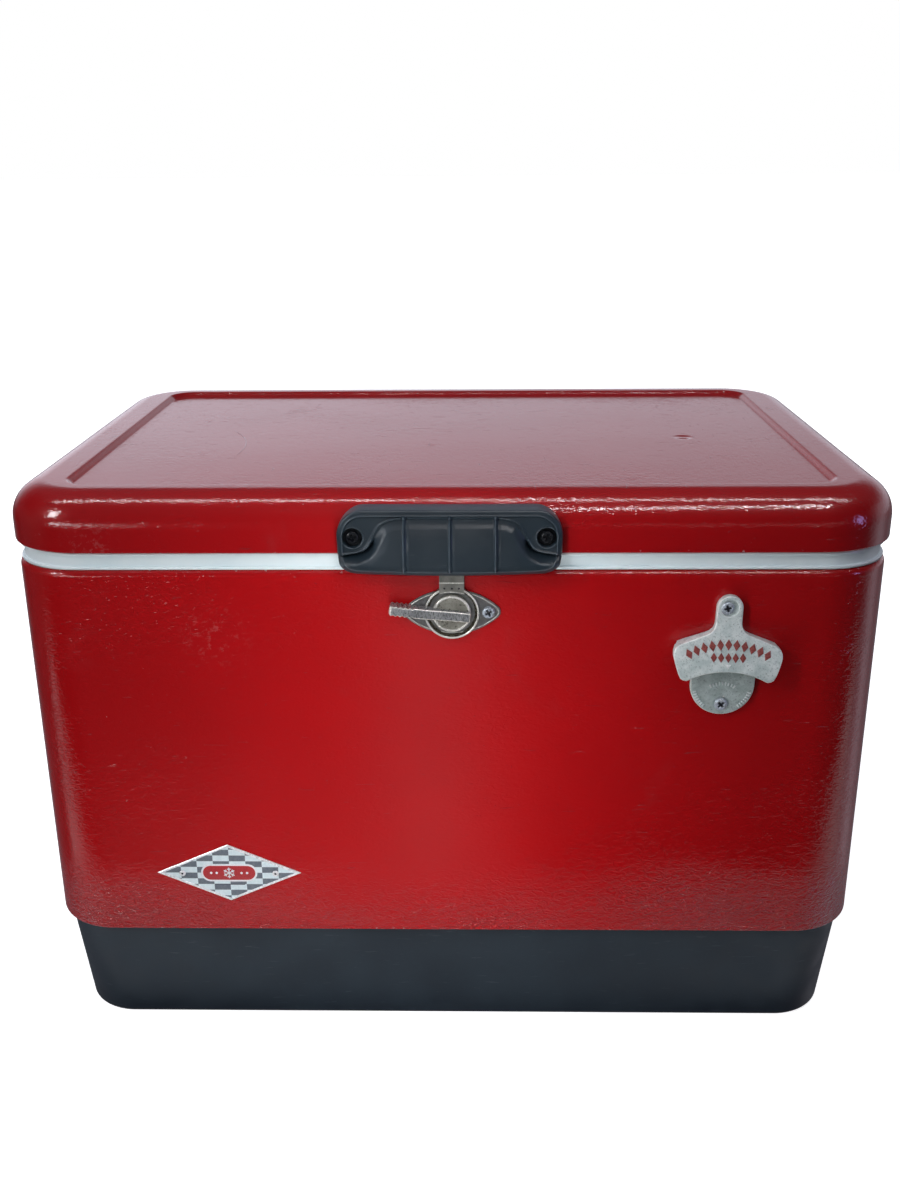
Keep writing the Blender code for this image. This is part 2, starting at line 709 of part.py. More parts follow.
def opener_side_outline():
    """Side view of the cast face as (outward, height): the tab is flat, then it leans out."""
    outer = [(0, 47), (5, 47), (5.6, 24), (7.2, 18), (10.2, 10), (13.4, 1), (15.3, -7), (15.6, -20)]
    inner = [(12.2, -20), (11.8, -7), (9.6, 0), (6.4, 6.5), (3, 10), (0, 10)]
    return [(-out * MM, OPENER.z + z * MM) for out, z in outer + inner]


def make_opener():
    back = FRONT - GAP
    seat = back - OPENER_PLATE
    plate_bm = outline_plate(opener_plate_outline(), back, seat)
    opener = place("bottle_opener", as_mesh(plate_bm, "bottle_opener"), CAST_ZINC)
    hood_bm = outline_plate(opener_hood_outline(), back - 1 * MM, back - 30 * MM)
    hood = cutter("opener_hood", as_mesh(hood_bm, "opener_hood"))
    lean_bm = outline_plate(opener_side_outline(), -45 * MM, 45 * MM)
    # The side view is drawn in the (x, z) plane: turn it about Z so that outward runs to -Y.
    turn = Matrix.Translation((OPENER.x, back, 0)) @ Matrix.Rotation(math.radians(90), 4, "Z")
    bmesh.ops.transform(lean_bm, matrix=turn, verts=lean_bm.verts)
    boolean(hood, cutter("opener_side", as_mesh(lean_bm, "opener_side")), "INTERSECT")
    boolean(opener, hood, "UNION")
    recess = bmesh.new()
    holes = bmesh.new()
    for offset, name in zip(OPENER_SCREW_OFFSETS, ("top", "bottom")):
        at = Vector((OPENER.x, seat, OPENER.z + offset))
        drill(recess, at + Vector((0, -6 * MM, 0)), (0, 1, 0), radius=6 * MM, depth=12 * MM)
        drill(holes, at, (0, 1, 0), radius=2.4 * MM, depth=14 * MM)
        head = at - Vector((0, GAP, 0))
        pan_screw(f"opener_screw_{name}", head, (0, -1, 0), STAINLESS, 4.4 * MM, length=6.5 * MM)
    boolean(opener, cutter("opener_recesses", as_mesh(recess, "opener_recesses")))
    boolean(opener, cutter("opener_screw_holes", as_mesh(holes, "opener_screw_holes")))


def make_badge():
    x, z = BADGE.x, BADGE.z
    points = [(x + BADGE_HALF.x, z), (x, z + BADGE_HALF.y), (x - BADGE_HALF.x, z), (x, z - BADGE_HALF.y)]
    back = FRONT - GAP
    front = back - 0.9 * MM
    badge = place("badge_plate", as_mesh(outline_plate(points, back, front), "badge_plate"), BADGE_METAL)
    holes = bmesh.new()
    for side, name in ((-1, "left"), (1, "right")):
        at = Vector((x + side * BADGE_PIN_X, front, z))
        drill(holes, at, (0, 1, 0), radius=1.5 * MM)
        seat = at - Vector((0, GAP, 0))
        pan_screw(f"badge_pin_{name}", seat, (0, -1, 0), STAINLESS, 2.3 * MM, 1.1 * MM, 3 * MM)
    boolean(badge, cutter("badge_pin_holes", as_mesh(holes, "badge_pin_holes")))


# ---------------------------------------------------------------- bail handles


def make_bracket(name, side, y):
    """A pressed clip on the end of the body, with a rolled loop that holds one end of the bail."""
    inner = side * (BELT_HALF.x + GAP)
    outer = inner + side * 1.5 * MM
    pivot_x = side * (BELT_HALF.x + BAIL_PIVOT_OUT)
    half_y, half_z = 9 * MM, 24 * MM
    low = (min(inner, outer), y - half_y, BAIL_PIVOT_Z - half_z)
    high = (max(inner, outer), y + half_y, BAIL_PIVOT_Z + half_z)
    bracket = place(name, as_mesh(box(low, high), name), STAINLESS)
    ends = ((pivot_x, y - 7.5 * MM, BAIL_PIVOT_Z), (pivot_x, y + 7.5 * MM, BAIL_PIVOT_Z))
    loop = as_mesh(cylinder(BAIL_ROD + 1.9 * MM, *ends, sides=14), "loop")
    boolean(bracket, cutter(f"{name}_loop", loop), "UNION")
    ends = ((pivot_x, y - 20 * MM, BAIL_PIVOT_Z), (pivot_x, y + 20 * MM, BAIL_PIVOT_Z))
    bore = as_mesh(cylinder(BAIL_ROD + GAP, *ends, sides=14), "bore")
    boolean(bracket, cutter(f"{name}_bore", bore))
    holes = bmesh.new()
    for offset, level in ((16 * MM, "upper"), (-16 * MM, "lower")):
        at = Vector((outer, y, BAIL_PIVOT_Z + offset))
        drill(holes, at, (1, 0, 0))
        pan_screw(f"{name}_screw_{level}", at + Vector((side * GAP, 0, 0)), (side, 0, 0), STAINLESS, 3.8 * MM)
    boolean(bracket, cutter(f"{name}_holes", as_mesh(holes, "holes")))


def bail_route(side):
    """Centre line of the bent rod, from one bracket round the grip to the other."""
    pivot_x = side * (BELT_HALF.x + BAIL_PIVOT_OUT)
    grip_x = side * (BELT_HALF.x + BAIL_GRIP_RADIUS + 1.2 * MM)
    bend, steps = 8 * MM, 3
    corners = [
        Vector((pivot_x, -BRACKET_Y + 8 * MM, BAIL_PIVOT_Z)),
        Vector((pivot_x, -BAIL_ARM_Y, BAIL_PIVOT_Z)),
        Vector((grip_x, -BAIL_ARM_Y, BAIL_PIVOT_Z - BAIL_DROP)),
        Vector((grip_x, BAIL_ARM_Y, BAIL_PIVOT_Z - BAIL_DROP)),
        Vector((pivot_x, BAIL_ARM_Y, BAIL_PIVOT_Z)),
        Vector((pivot_x, BRACKET_Y - 8 * MM, BAIL_PIVOT_Z)),
    ]
    route = [corners[0]]
    for before, at, after in zip(corners, corners[1:], corners[2:]):
        start = at + (before - at).normalized() * bend
        end = at + (after - at).normalized() * bend
        for step in range(steps + 1):
            t = step / steps
            route.append((1 - t) ** 2 * start + 2 * t * (1 - t) * at + t**2 * end)
    return route + [corners[-1]]


def make_bail(side, name):
    curve = bpy.data.curves.new(f"{name}_bail", "CURVE")
    curve.dimensions = "3D"
    curve.bevel_depth = BAIL_ROD
    curve.bevel_resolution = 2
    curve.use_fill_caps = True
    spline = curve.splines.new("POLY")
    route = bail_route(side)
    spline.points.add(len(route) - 1)
    for point, position in zip(spline.points, route):
        point.co = (*position, 1)
    curve.materials.append(STAINLESS)
    PARTS.objects.link(bpy.data.objects.new(f"{name}_bail", curve))
    grip_x = side * (BELT_HALF.x + BAIL_GRIP_RADIUS + 1.2 * MM)
    level, half = BAIL_PIVOT_Z - BAIL_DROP, 60 * MM
    ends = ((grip_x, -half, level), (grip_x, half, level))
    grip_mesh = as_mesh(cylinder(BAIL_GRIP_RADIUS, *ends, sides=18), "grip")
    grip = place(f"{name}_bail_grip", grip_mesh, SOFT_BLACK)
    round_edges(grip, 2 * MM)
    bore = cylinder(BAIL_ROD + GAP, (grip_x, -half * 2, level), (grip_x, half * 2, level), sides=12)
    boolean(grip, cutter(f"{name}_grip_bore", as_mesh(bore, "bore")))
    for end, y in (("front", -BRACKET_Y), ("rear", BRACKET_Y)):
        make_bracket(f"{name}_{end}_bracket", side, y)


# ---------------------------------------------------------------- hinges


def hinge_leaf(name, x, path, knuckles):
    """A leaf bent along path, its outer face as a list of (y, z), with knuckles on the hinge's axis."""
    bm = bmesh.new()
    left = [bm.verts.new((x - HINGE_HALF, y, z)) for y, z in path]
    right = [bm.verts.new((x + HINGE_HALF, y, z)) for y, z in path]
    for i in range(len(path) - 1):
        bm.faces.new((left[i], right[i], right[i + 1], left[i + 1]))
    mesh = bpy.data.meshes.new(name)
    bm.to_mesh(mesh)
    bm.free()
    leaf = place(name, mesh, STAINLESS)
    thicken(leaf, 1.5 * MM)
    for start, end in knuckles:
        ends = (HINGE_AXIS + Vector((x + start, 0, 0)), HINGE_AXIS + Vector((x + end, 0, 0)))
        knuckle = as_mesh(cylinder(KNUCKLE_RADIUS, *ends, sides=14), "knuckle")
        boolean(leaf, cutter(f"{name}_knuckle", knuckle), "UNION")
    return leaf


def cut_hinge(leaf, x, gaps, screw_z, seat_y, screws_for):
    """Pin bore, the space for the other leaf's knuckles, and the screws of one leaf."""
    ends = (HINGE_AXIS + Vector((x - 40 * MM, 0, 0)), HINGE_AXIS + Vector((x + 40 * MM, 0, 0)))
    boolean(leaf, cutter(f"{leaf.name}_bore", as_mesh(cylinder(PIN_RADIUS + GAP, *ends, sides=12), "bore")))
    for start, end in gaps:
        ends = (HINGE_AXIS + Vector((x + start, 0, 0)), HINGE_AXIS + Vector((x + end, 0, 0)))
        room = cylinder(KNUCKLE_RADIUS + GAP, *ends, sides=14)
        boolean(leaf, cutter(f"{leaf.name}_room", as_mesh(room, "room")))
    holes = bmesh.new()
    for offset, label in ((-12 * MM, "a"), (12 * MM, "b")):
        at = Vector((x + offset, seat_y, screw_z))
        drill(holes, at, (0, 1, 0))
        pan_screw(f"{screws_for}_screw_{label}", at + Vector((0, GAP, 0)), (0, 1, 0), STAINLESS, 3.8 * MM)
    boolean(leaf, cutter(f"{leaf.name}_holes", as_mesh(holes, "holes")))


def make_hinge(name, x):
    """A butt hinge: the body leaf holds the middle knuckle and the lid leaf the outer two."""
    lid_face, belt_face = LID_HALF.y + GAP + 1.5 * MM, BACK + GAP + 1.5 * MM
    split = 9 * MM
    axis_y, axis_z = HINGE_AXIS.y, HINGE_AXIS.z
    lid_path = [(lid_face, 391 * MM), (lid_face, axis_z + 1 * MM)]
    outer_knuckles = [(-HINGE_HALF, -split), (split, HINGE_HALF)]
    lid_leaf = hinge_leaf(f"{name}_hinge_lid_leaf", x, lid_path, outer_knuckles)
    cut_hinge(lid_leaf, x, [(-split - GAP, split + GAP)], 385.5 * MM, lid_face, f"{name}_hinge_lid")
    body_path = [(axis_y + 1.9 * MM, axis_z - 1.5 * MM), (belt_face, axis_z - 11 * MM), (belt_face, 330 * MM)]
    body_leaf = hinge_leaf(f"{name}_hinge_body_leaf", x, body_path, [(-split + GAP, split - GAP)])
    gaps = [(-HINGE_HALF - 1 * MM, -split + GAP), (split - GAP, HINGE_HALF + 1 * MM)]
    cut_hinge(body_leaf, x, gaps, 341 * MM, belt_face, f"{name}_hinge_body")
    ends = (HINGE_AXIS + Vector((x - 21.5 * MM, 0, 0)), HINGE_AXIS + Vector((x + 21.5 * MM, 0, 0)))
    place(f"{name}_hinge_pin", as_mesh(cylinder(PIN_RADIUS, *ends, sides=12), "pin"), STAINLESS)


# ---------------------------------------------------------------- drain


def make_drain():
    """A flanged tube from the tub's foot through the base wall, and a pull-off cap on its spout."""
    wall = BELT_HALF.x - BASE_INSET - BASE_DRAFT * (BELT_LOW - DRAIN_Z)
    inside = TUB_HALF.x - TUB_TAPER - 7 * MM
    outer = wall + 1.8 * MM
    spout = 9 * MM
    tube = [
        (DRAIN_BORE, spout),
        (DRAIN_TUBE, spout),
        (DRAIN_TUBE, 2.5 * MM),
        (12.4 * MM, 2.5 * MM),
        (12.4 * MM, 0),
        (DRAIN_TUBE, 0),
        (DRAIN_TUBE, inside - outer),
        (DRAIN_BORE, inside - outer),
    ]
    turned("drain_tube", tube, BLACK_PLASTIC, (outer, 0, DRAIN_Z), (1, 0, 0), steps=18)
    cap_in, cap_out, top = DRAIN_TUBE + GAP, 11.6 * MM, spout + 3.4 * MM
    cap = [
        (0, top),
        (cap_out - 1 * MM, top),
        (cap_out, top - 1 * MM),
        (cap_out, 2.5 * MM + GAP),
        (cap_in, 2.5 * MM + GAP),
        (cap_in, spout + GAP),
        (DRAIN_BORE - GAP, spout + GAP),
        (DRAIN_BORE - GAP, spout - 6 * MM),
        (0, spout - 6 * MM),
    ]
    turned("drain_cap", cap, BLACK_PLASTIC, (outer, 0, DRAIN_Z), (1, 0, 0), steps=18)


# ---------------------------------------------------------------- assembly


def belt_holes():
    """Screw holes through the belt, under every fitting that is screwed to it."""
    holes = bmesh.new()
    y, x = Vector((0, 1, 0)), Vector((1, 0, 0))
    for side in (-1, 1):
        drill(holes, (LATCH.x + side * 24.3 * MM, FRONT, LATCH.z), y)
        drill(holes, (BADGE.x + side * BADGE_PIN_X, FRONT, BADGE.z), y, radius=1.5 * MM)
        for bracket_y in (-BRACKET_Y, BRACKET_Y):
            for offset in (-16 * MM, 16 * MM):
                drill(holes, (side * BELT_HALF.x, bracket_y, BAIL_PIVOT_Z + offset), x)
        for offset in (-12 * MM, 12 * MM):
            drill(holes, (side * HINGE_X + offset, BACK, 341 * MM), y)
    for offset in OPENER_SCREW_OFFSETS:
        drill(holes, (OPENER.x, FRONT, OPENER.z + offset), y)
    drill(holes, (LATCH.x, FRONT, LATCH.z), y, radius=3.3 * MM)
    return as_mesh(holes, "belt_screw_holes")


def lid_holes():
    """Screw holes through the lid's skirt, under the grip, the strike and the hinges."""
    holes = bmesh.new()
    y = Vector((0, 1, 0))
    for side in (-1, 1):
        drill(holes, (GRIP_X + side * GRIP_SCREW_X, LID_FRONT, GRIP_SCREW_Z), y)
        drill(holes, (LATCH.x + side * 4 * MM, LID_FRONT, 385 * MM), y, radius=1.6 * MM)
        for offset in (-12 * MM, 12 * MM):
            drill(holes, (side * HINGE_X + offset, LID_HALF.y, 385.5 * MM), y)
    return as_mesh(holes, "lid_screw_holes")


def hang(name, location, children):
    """Parents pieces to an empty on the axis they turn about, without moving them."""
    pivot = bpy.data.objects.new(name, None)
    pivot.location = location
    PARTS.objects.link(pivot)
    bpy.context.view_layer.update()
    for child in children:
        child.parent = pivot
        child.matrix_parent_inverse = pivot.matrix_world.inverted()


make_base()
make_belt(belt_holes())
make_liner()
make_body_foam()
make_lid_shell(lid_holes())
make_lid_liner()
make_lid_foam()
make_grip()
make_strike()
make_latch()
make_opener()
make_badge()
make_bail(-1, "left")
make_bail(1, "right")
make_hinge("left", -HINGE_X)
make_hinge("right", HINGE_X)
make_drain()

bpy.context.view_layer.update()
pieces = list(PARTS.objects)
lid_prefixes = ("lid_", "grip_screw", "strike_")
hang("lid_pivot", HINGE_AXIS, [p for p in pieces if p.name.startswith(lid_prefixes) or "hinge_lid" in p.name])
hang("latch_pivot", Vector((LATCH.x, FRONT, LATCH.z)), [p for p in pieces if p.name == "latch_rotor"])
for side_name, side in (("left", -1), ("right", 1)):
    axis_point = Vector((side * (BELT_HALF.x + BAIL_PIVOT_OUT), 0, BAIL_PIVOT_Z))
    hang(f"{side_name}_bail_pivot", axis_point, [p for p in pieces if p.name.startswith(f"{side_name}_bail")])
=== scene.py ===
"""Look model of a steel-belted picnic cooler: fine pieces, materials, lights and camera."""

import math

import bmesh
import bpy
from mathutils import Matrix, Vector


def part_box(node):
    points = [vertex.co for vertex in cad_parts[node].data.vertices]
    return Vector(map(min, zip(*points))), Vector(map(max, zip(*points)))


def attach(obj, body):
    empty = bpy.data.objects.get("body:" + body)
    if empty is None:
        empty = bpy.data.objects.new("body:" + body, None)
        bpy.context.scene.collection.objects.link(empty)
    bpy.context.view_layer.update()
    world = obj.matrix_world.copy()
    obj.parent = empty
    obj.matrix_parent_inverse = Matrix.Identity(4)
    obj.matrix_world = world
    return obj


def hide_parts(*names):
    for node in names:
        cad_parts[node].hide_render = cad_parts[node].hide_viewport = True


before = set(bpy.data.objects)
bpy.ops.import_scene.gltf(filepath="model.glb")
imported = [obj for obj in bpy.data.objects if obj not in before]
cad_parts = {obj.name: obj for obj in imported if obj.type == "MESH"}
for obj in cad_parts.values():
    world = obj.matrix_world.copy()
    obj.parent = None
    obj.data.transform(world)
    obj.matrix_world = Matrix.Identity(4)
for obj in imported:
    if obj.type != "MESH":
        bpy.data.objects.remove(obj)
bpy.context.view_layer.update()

MM = 0.001
GAP = 0.3 * MM
WELD = 0.0005 * MM
FLAT = Vector((1, 1))
CORNER_STEPS = 20

# Main sizes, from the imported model.
LID_LOW_CORNER, LID_HIGH_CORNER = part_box("lid_shell")
LID_HALF = LID_HIGH_CORNER.xy
LID_LOW, HEIGHT = LID_LOW_CORNER.z, LID_HIGH_CORNER.z
LID_FRONT = LID_LOW_CORNER.y
BELT_LOW_CORNER, BELT_HIGH_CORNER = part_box("steel_belt")
BELT_HALF = BELT_HIGH_CORNER.xy
BELT_LOW, BELT_HIGH = BELT_LOW_CORNER.z, BELT_HIGH_CORNER.z
FRONT = BELT_LOW_CORNER.y
BASE_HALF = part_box("base_tray")[1].xy
BASE_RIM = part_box("base_tray")[1].z
RIM_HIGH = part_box("inner_liner")[1].z
RIM_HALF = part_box("inner_liner")[1].xy - FLAT * 2 * MM
ROTOR_LOW, ROTOR_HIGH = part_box("latch_rotor")
LATCH = (ROTOR_LOW + ROTOR_HIGH) / 2
BADGE = (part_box("badge_plate")[0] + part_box("badge_plate")[1]) / 2
GRIP_LOW_CORNER, GRIP_HIGH_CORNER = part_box("lid_grip")
GRIP_X = (GRIP_LOW_CORNER.x + GRIP_HIGH_CORNER.x) / 2
TUBE = (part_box("drain_tube")[0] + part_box("drain_tube")[1]) / 2

# Sizes inside the shells, as the solids have them.
LID_CORNER = 58 * MM
LID_FILLET = 24 * MM
LID_HEM = 6 * MM
RECESS_HALF = Vector((260.5, 171.5)) * MM
RECESS_DEPTH = 3.5 * MM
RECESS_CORNER = 20 * MM
BELT_CORNER = 50 * MM
BASE_CORNER = 41 * MM
BASE_FILLET = 4 * MM
BASE_DRAFT = math.tan(math.radians(4.9))
TUB_HALF = Vector((264.5, 166.5)) * MM
TUB_CORNER = 32 * MM
TUB_FLOOR = 62 * MM
TUB_TAPER = 10 * MM
TUB_FILLET = 20 * MM
TUB_LIP = 4 * MM


# ---------------------------------------------------------------- node materials


class Graph:
    """Adds nodes to one cleared node tree. Apart from feed and put, its methods return an output socket."""

    def __init__(self, owner):
        owner.use_nodes = True
        self.tree = owner.node_tree
        self.tree.nodes.clear()

    def feed(self, socket, value):
        """Gives an input a plain value, or the output socket that feeds it."""
        if isinstance(value, bpy.types.NodeSocket):
            self.tree.links.new(value, socket)
        else:
            socket.default_value = value

    def put(self, kind, inputs=None, **settings):
        node = self.tree.nodes.new(kind)
        for key, value in settings.items():
            setattr(node, key, value)
        for key, value in (inputs or {}).items():
            self.feed(node.inputs[key], value)
        return node

    def place(self):
        """Object coordinates, in metres."""
        return self.put("ShaderNodeTexCoord").outputs["Object"]

    def coords(self, scale=(1, 1, 1), rotation=(0, 0, 0)):
        """Object coordinates turned, and stretched by scale."""
        inputs = {"Vector": self.place(), "Scale": scale, "Rotation": rotation}
        return self.put("ShaderNodeMapping", inputs).outputs["Vector"]

    def noise(self, scale, detail=2.0, roughness=0.5, distortion=0.0, vector=None):
        inputs = {"Vector": self.coords() if vector is None else vector, "Scale": scale}
        inputs.update({"Detail": detail, "Roughness": roughness, "Distortion": distortion})
        return self.put("ShaderNodeTexNoise", inputs).outputs["Fac"]

    def maths(self, operation, a, b=0.0, clamp=False):
        return self.put("ShaderNodeMath", {0: a, 1: b}, operation=operation, use_clamp=clamp).outputs[0]

    def times(self, a, b):
        return self.maths("MULTIPLY", a, b)

    def largest(self, a, b):
        return self.maths("MAXIMUM", a, b)

    def ramp(self, value, low, high, to_low=0.0, to_high=1.0):
        """A clamped, smooth change from to_low to to_high as value goes from low to high."""
        inputs = {"Value": value, "From Min": low, "From Max": high, "To Min": to_low, "To Max": to_high}
        return self.put("ShaderNodeMapRange", inputs, interpolation_type="SMOOTHSTEP").outputs["Result"]

    def blend(self, factor, a, b):
        """A mix of two colours, each a socket or three numbers."""
        a, b = [(*colour, 1.0) if isinstance(colour, tuple) else colour for colour in (a, b)]
        return self.put("ShaderNodeMix", {0: factor, 6: a, 7: b}, data_type="RGBA").outputs[2]

    def bump(self, height, distance, strength=1.0, below=None):
        inputs = {"Height": height, "Distance": distance, "Strength": strength}
        if below is not None:
            inputs["Normal"] = below
        return self.put("ShaderNodeBump", inputs).outputs["Normal"]

    def axis(self, name):
        """One object coordinate, in metres."""
        return self.put("ShaderNodeSeparateXYZ", {"Vector": self.place()}).outputs[name]

    def vectors(self, operation, a, b):
        return self.put("ShaderNodeVectorMath", {0: a, 1: b}, operation=operation).outputs

    def away(self, centre):
        """Distance from a point, in metres."""
        return self.vectors("DISTANCE", self.place(), centre)["Value"]

    def spot(self, centre, radius):
        """1 at centre, falling to 0 at radius."""
        return self.ramp(self.away(centre), 0.0, radius, 1.0, 0.0)

    def wrinkles(self, vector, scale, distortion):
        """Winding raised ridges, as on embossed or hammered paint."""
        centred = self.maths("SUBTRACT", self.noise(scale, 1.0, 0.4, distortion, vector), 0.5)
        folded = self.maths("MULTIPLY", self.maths("ABSOLUTE", centred), 6.4, True)
        return self.maths("SUBTRACT", 1.0, folded)

    def thin_arc(self, centre, radius, middle, reach):
        """A hair-thin arc of a circle, kept only within reach of its middle."""
        off = self.maths("ABSOLUTE", self.maths("SUBTRACT", self.away(centre), radius))
        line = self.ramp(off, 0.15 * MM, 0.55 * MM, 1.0, 0.0)
        return self.times(line, self.ramp(self.spot(middle, reach), 0.0, 0.15))

    def painted_edge_light_and_wear(self, colour, amount, bright, dark):
        """Paler convex edges and darker inside corners, found by pointiness: painted highlight and painted
        shade, with some wear on metal edges.
        """
        pointed = self.put("ShaderNodeNewGeometry").outputs["Pointiness"]
        edge = self.times(self.ramp(pointed, 0.515, 0.56), amount)
        valley_shade = self.times(self.ramp(pointed, 0.485, 0.44), amount)
        return self.blend(valley_shade, self.blend(edge, colour, bright), dark)


class Surface(Graph):
    """A material with one Principled shader."""

    def __init__(self, name, values):
        self.material = bpy.data.materials.new(name)
        super().__init__(self.material)
        self.shader = self.put("ShaderNodeBsdfPrincipled", values)
        self.put("ShaderNodeOutputMaterial", {"Surface": self.shader.outputs["BSDF"]})

    def set_inputs(self, inputs):
        for key, value in inputs.items():
            self.feed(self.shader.inputs[key], value)
        return self.material

    def finish(self, colour, roughness, normal):
        return self.set_inputs({"Base Color": colour, "Roughness": roughness, "Normal": normal})


def red_paint(name, relief, dust, depth):
    """Glossy baked enamel over embossed sheet steel, with smears, fine scratches and chipped edges."""
    coat = {"Coat Weight": 1.0, "Coat Roughness": 0.06, "Coat IOR": 1.5}
    paint = Surface(name, {**coat, "IOR": 1.5, "Specular IOR Level": 0.1})
    grain = paint.coords((1, 1, 1.9))
    fine = paint.times(paint.wrinkles(grain, 410.0, 0.6), 0.35)
    ridges = paint.maths("ADD", paint.wrinkles(grain, 175.0, 0.8), fine)
    patches = paint.ramp(paint.noise(9.0, 2.0, vector=grain), 0.30, 0.72, 0.45, 1.0)
    low_down = paint.ramp(paint.axis("Z"), 0.095, 0.15, 1.0, 0.15)
    ridges = paint.times(ridges, paint.times(patches, low_down))
    normal = paint.bump(paint.noise(7.0, 1.0), 1.2 * MM, 0.35)
    normal = paint.bump(paint.noise(620.0, 2.0), 0.08 * MM, 0.5, normal)
    normal = paint.bump(ridges, relief, 0.9, normal)
    panel = HEIGHT - RECESS_DEPTH
    dent = paint.times(paint.spot((0.180, -0.014, panel), 9 * MM), -1.0)
    normal = paint.bump(dent, 0.9 * MM, 1.0, normal)

    smear = paint.ramp(paint.noise(16.0, 5.0, 0.62, 0.4, paint.coords((1, 1, 0.7))), 0.60, 0.76)
    scratch_a = paint.noise(5.0, 2.0, 0.5, 0.6, paint.coords((9, 160, 120), (0, 0, 0.35)))
    scratch_b = paint.noise(4.0, 2.0, 0.5, 0.5, paint.coords((150, 10, 120), (0, 0, -0.2)))
    scratch = paint.ramp(paint.largest(scratch_a, scratch_b), 0.725, 0.76)
    hair = paint.thin_arc((-0.278, -0.051, panel), 120 * MM, (-0.169, -0.030, panel), 50 * MM)
    scratch = paint.largest(scratch, hair)
    smudge_a = paint.spot((-0.234, LID_FRONT, 0.378), 26 * MM)
    smudge_b = paint.spot((-0.158, FRONT, 0.317), 32 * MM)
    speckle = paint.ramp(paint.noise(240.0, 4.0, 0.7), 0.52, 0.66)
    smudge = paint.times(paint.largest(smudge_a, smudge_b), speckle)
    chips = paint.ramp(paint.noise(420.0, 1.0), 0.83, 0.85)
    edge_chips = paint.ramp(paint.noise(260.0, 3.0, 0.6), 0.66, 0.69)
    level = paint.axis("Z")
    for edge in (LID_LOW, BELT_HIGH, BELT_LOW):
        off = paint.maths("ABSOLUTE", paint.maths("SUBTRACT", level, edge))
        near = paint.ramp(off, 1 * MM, 2.6 * MM, 1.0, 0.0)
        chips = paint.largest(chips, paint.times(near, edge_chips))

    # depth darkens the whole enamel; below 1 it is painted shade.
    low, high = (0.370 * depth, 0.0015, 0.0031), (0.415 * depth, 0.0021, 0.0040)
    colour = paint.blend(paint.ramp(paint.noise(5.0, 3.0), 0.3, 0.7), low, high)
    colour = paint.blend(paint.times(smudge, 0.22), colour, (0.45, 0.18, 0.18))
    colour = paint.blend(paint.times(smear, dust), colour, (0.32, 0.075, 0.082))
    colour = paint.blend(paint.times(scratch, 0.35), colour, (0.10, 0.015, 0.022))
    colour = paint.blend(chips, colour, (0.42, 0.25, 0.25))
    rough = paint.ramp(paint.largest(smear, chips), 0.0, 1.0, 0.34, 0.62)
    normal = paint.bump(scratch, 0.16 * MM, 0.8, normal)
    paint.set_inputs({"Coat Normal": normal})
    return paint.finish(colour, rough, normal)


def moulded_plastic(name, low, high, rough, grain, scuff=0.0, edge_light_and_wear=0.0):
    """Injection-moulded plastic: a fine spark-eroded grain, uneven tone, scuffed streaks and painted edge
    highlight and corner shade where asked.
    """
    plastic = Surface(name, {"IOR": 1.46})
    colour = plastic.blend(plastic.ramp(plastic.noise(30.0, 4.0, 0.6), 0.3, 0.7), low, high)
    streak_a = plastic.noise(4.0, 4.0, 0.6, 0.3, plastic.coords((14, 20, 120), (0, 0.12, 0)))
    streak_b = plastic.noise(3.0, 5.0, 0.7, 0.8, plastic.coords((60, 60, 60)))
    streaks = plastic.largest(plastic.ramp(streak_a, 0.62, 0.74), plastic.ramp(streak_b, 0.66, 0.76))
    colour = plastic.blend(plastic.times(streaks, scuff), colour, (0.20, 0.23, 0.25))
    # Paler edges and darker corners: painted highlight and painted shade.
    if edge_light_and_wear:
        colour = plastic.painted_edge_light_and_wear(colour, edge_light_and_wear, (0.085, 0.11, 0.13), (0.003, 0.005, 0.007))
    roughness = plastic.ramp(plastic.noise(60.0, 3.0), 0.3, 0.7, rough - 0.05, rough + 0.07)
    normal = plastic.bump(plastic.noise(1500.0, 2.0, 0.6), grain * MM, 0.6)
    normal = plastic.bump(plastic.noise(22.0, 2.0), 0.05 * MM, 0.3, normal)
    return plastic.finish(colour, roughness, normal)


def worn_metal(
    name, low, high, rough, pit, spots, metallic, stretch=(1, 1, 1), stain=(0.2, 0.17, 0.13), edge_light_and_wear=0.0
):
    """Bare metal with brushing or pitting along the stretched axis, dull spots and darkened stains, and
    where asked paler edges (part wear, part painted highlight) with stain-dark corners.
    """
    metal = Surface(name, {"Metallic": metallic, "IOR": 1.5})
    brush = metal.noise(420.0, 3.0, 0.65, vector=metal.coords(stretch))
    colour = metal.blend(metal.ramp(metal.noise(130.0, 4.0, 0.65), 0.32, 0.68), low, high)
    dull = metal.ramp(metal.noise(900.0, 3.0, 0.7), 0.56, 0.66)
    colour = metal.blend(metal.times(dull, spots), colour, stain)
    patch = metal.ramp(metal.noise(60.0, 4.0, 0.7, 0.6), 0.60, 0.74)
    colour = metal.blend(metal.times(patch, 0.35), colour, stain)
    # Paler edges: partly wear, partly painted highlight; corners take the stain colour.
    if edge_light_and_wear:
        colour = metal.painted_edge_light_and_wear(colour, edge_light_and_wear, (0.97, 0.97, 0.95), stain)
    roughness = metal.ramp(brush, 0.25, 0.75, rough - 0.08, rough + 0.12)
    return metal.finish(colour, roughness, metal.bump(brush, pit * MM, 0.6))


def foam_surface():
    """Cut rigid foam with closed cells."""
    foam = Surface("rigid_foam", {"IOR": 1.4})
    inputs = {"Vector": foam.coords(), "Scale": 900.0}
    cells = foam.put("ShaderNodeTexVoronoi", inputs, feature="F1").outputs["Distance"]
    colour = foam.blend(foam.ramp(cells, 0.1, 0.7), (0.86, 0.80, 0.58), (0.66, 0.57, 0.36))
    return foam.finish(colour, 0.9, foam.bump(cells, 0.25 * MM, 0.8))


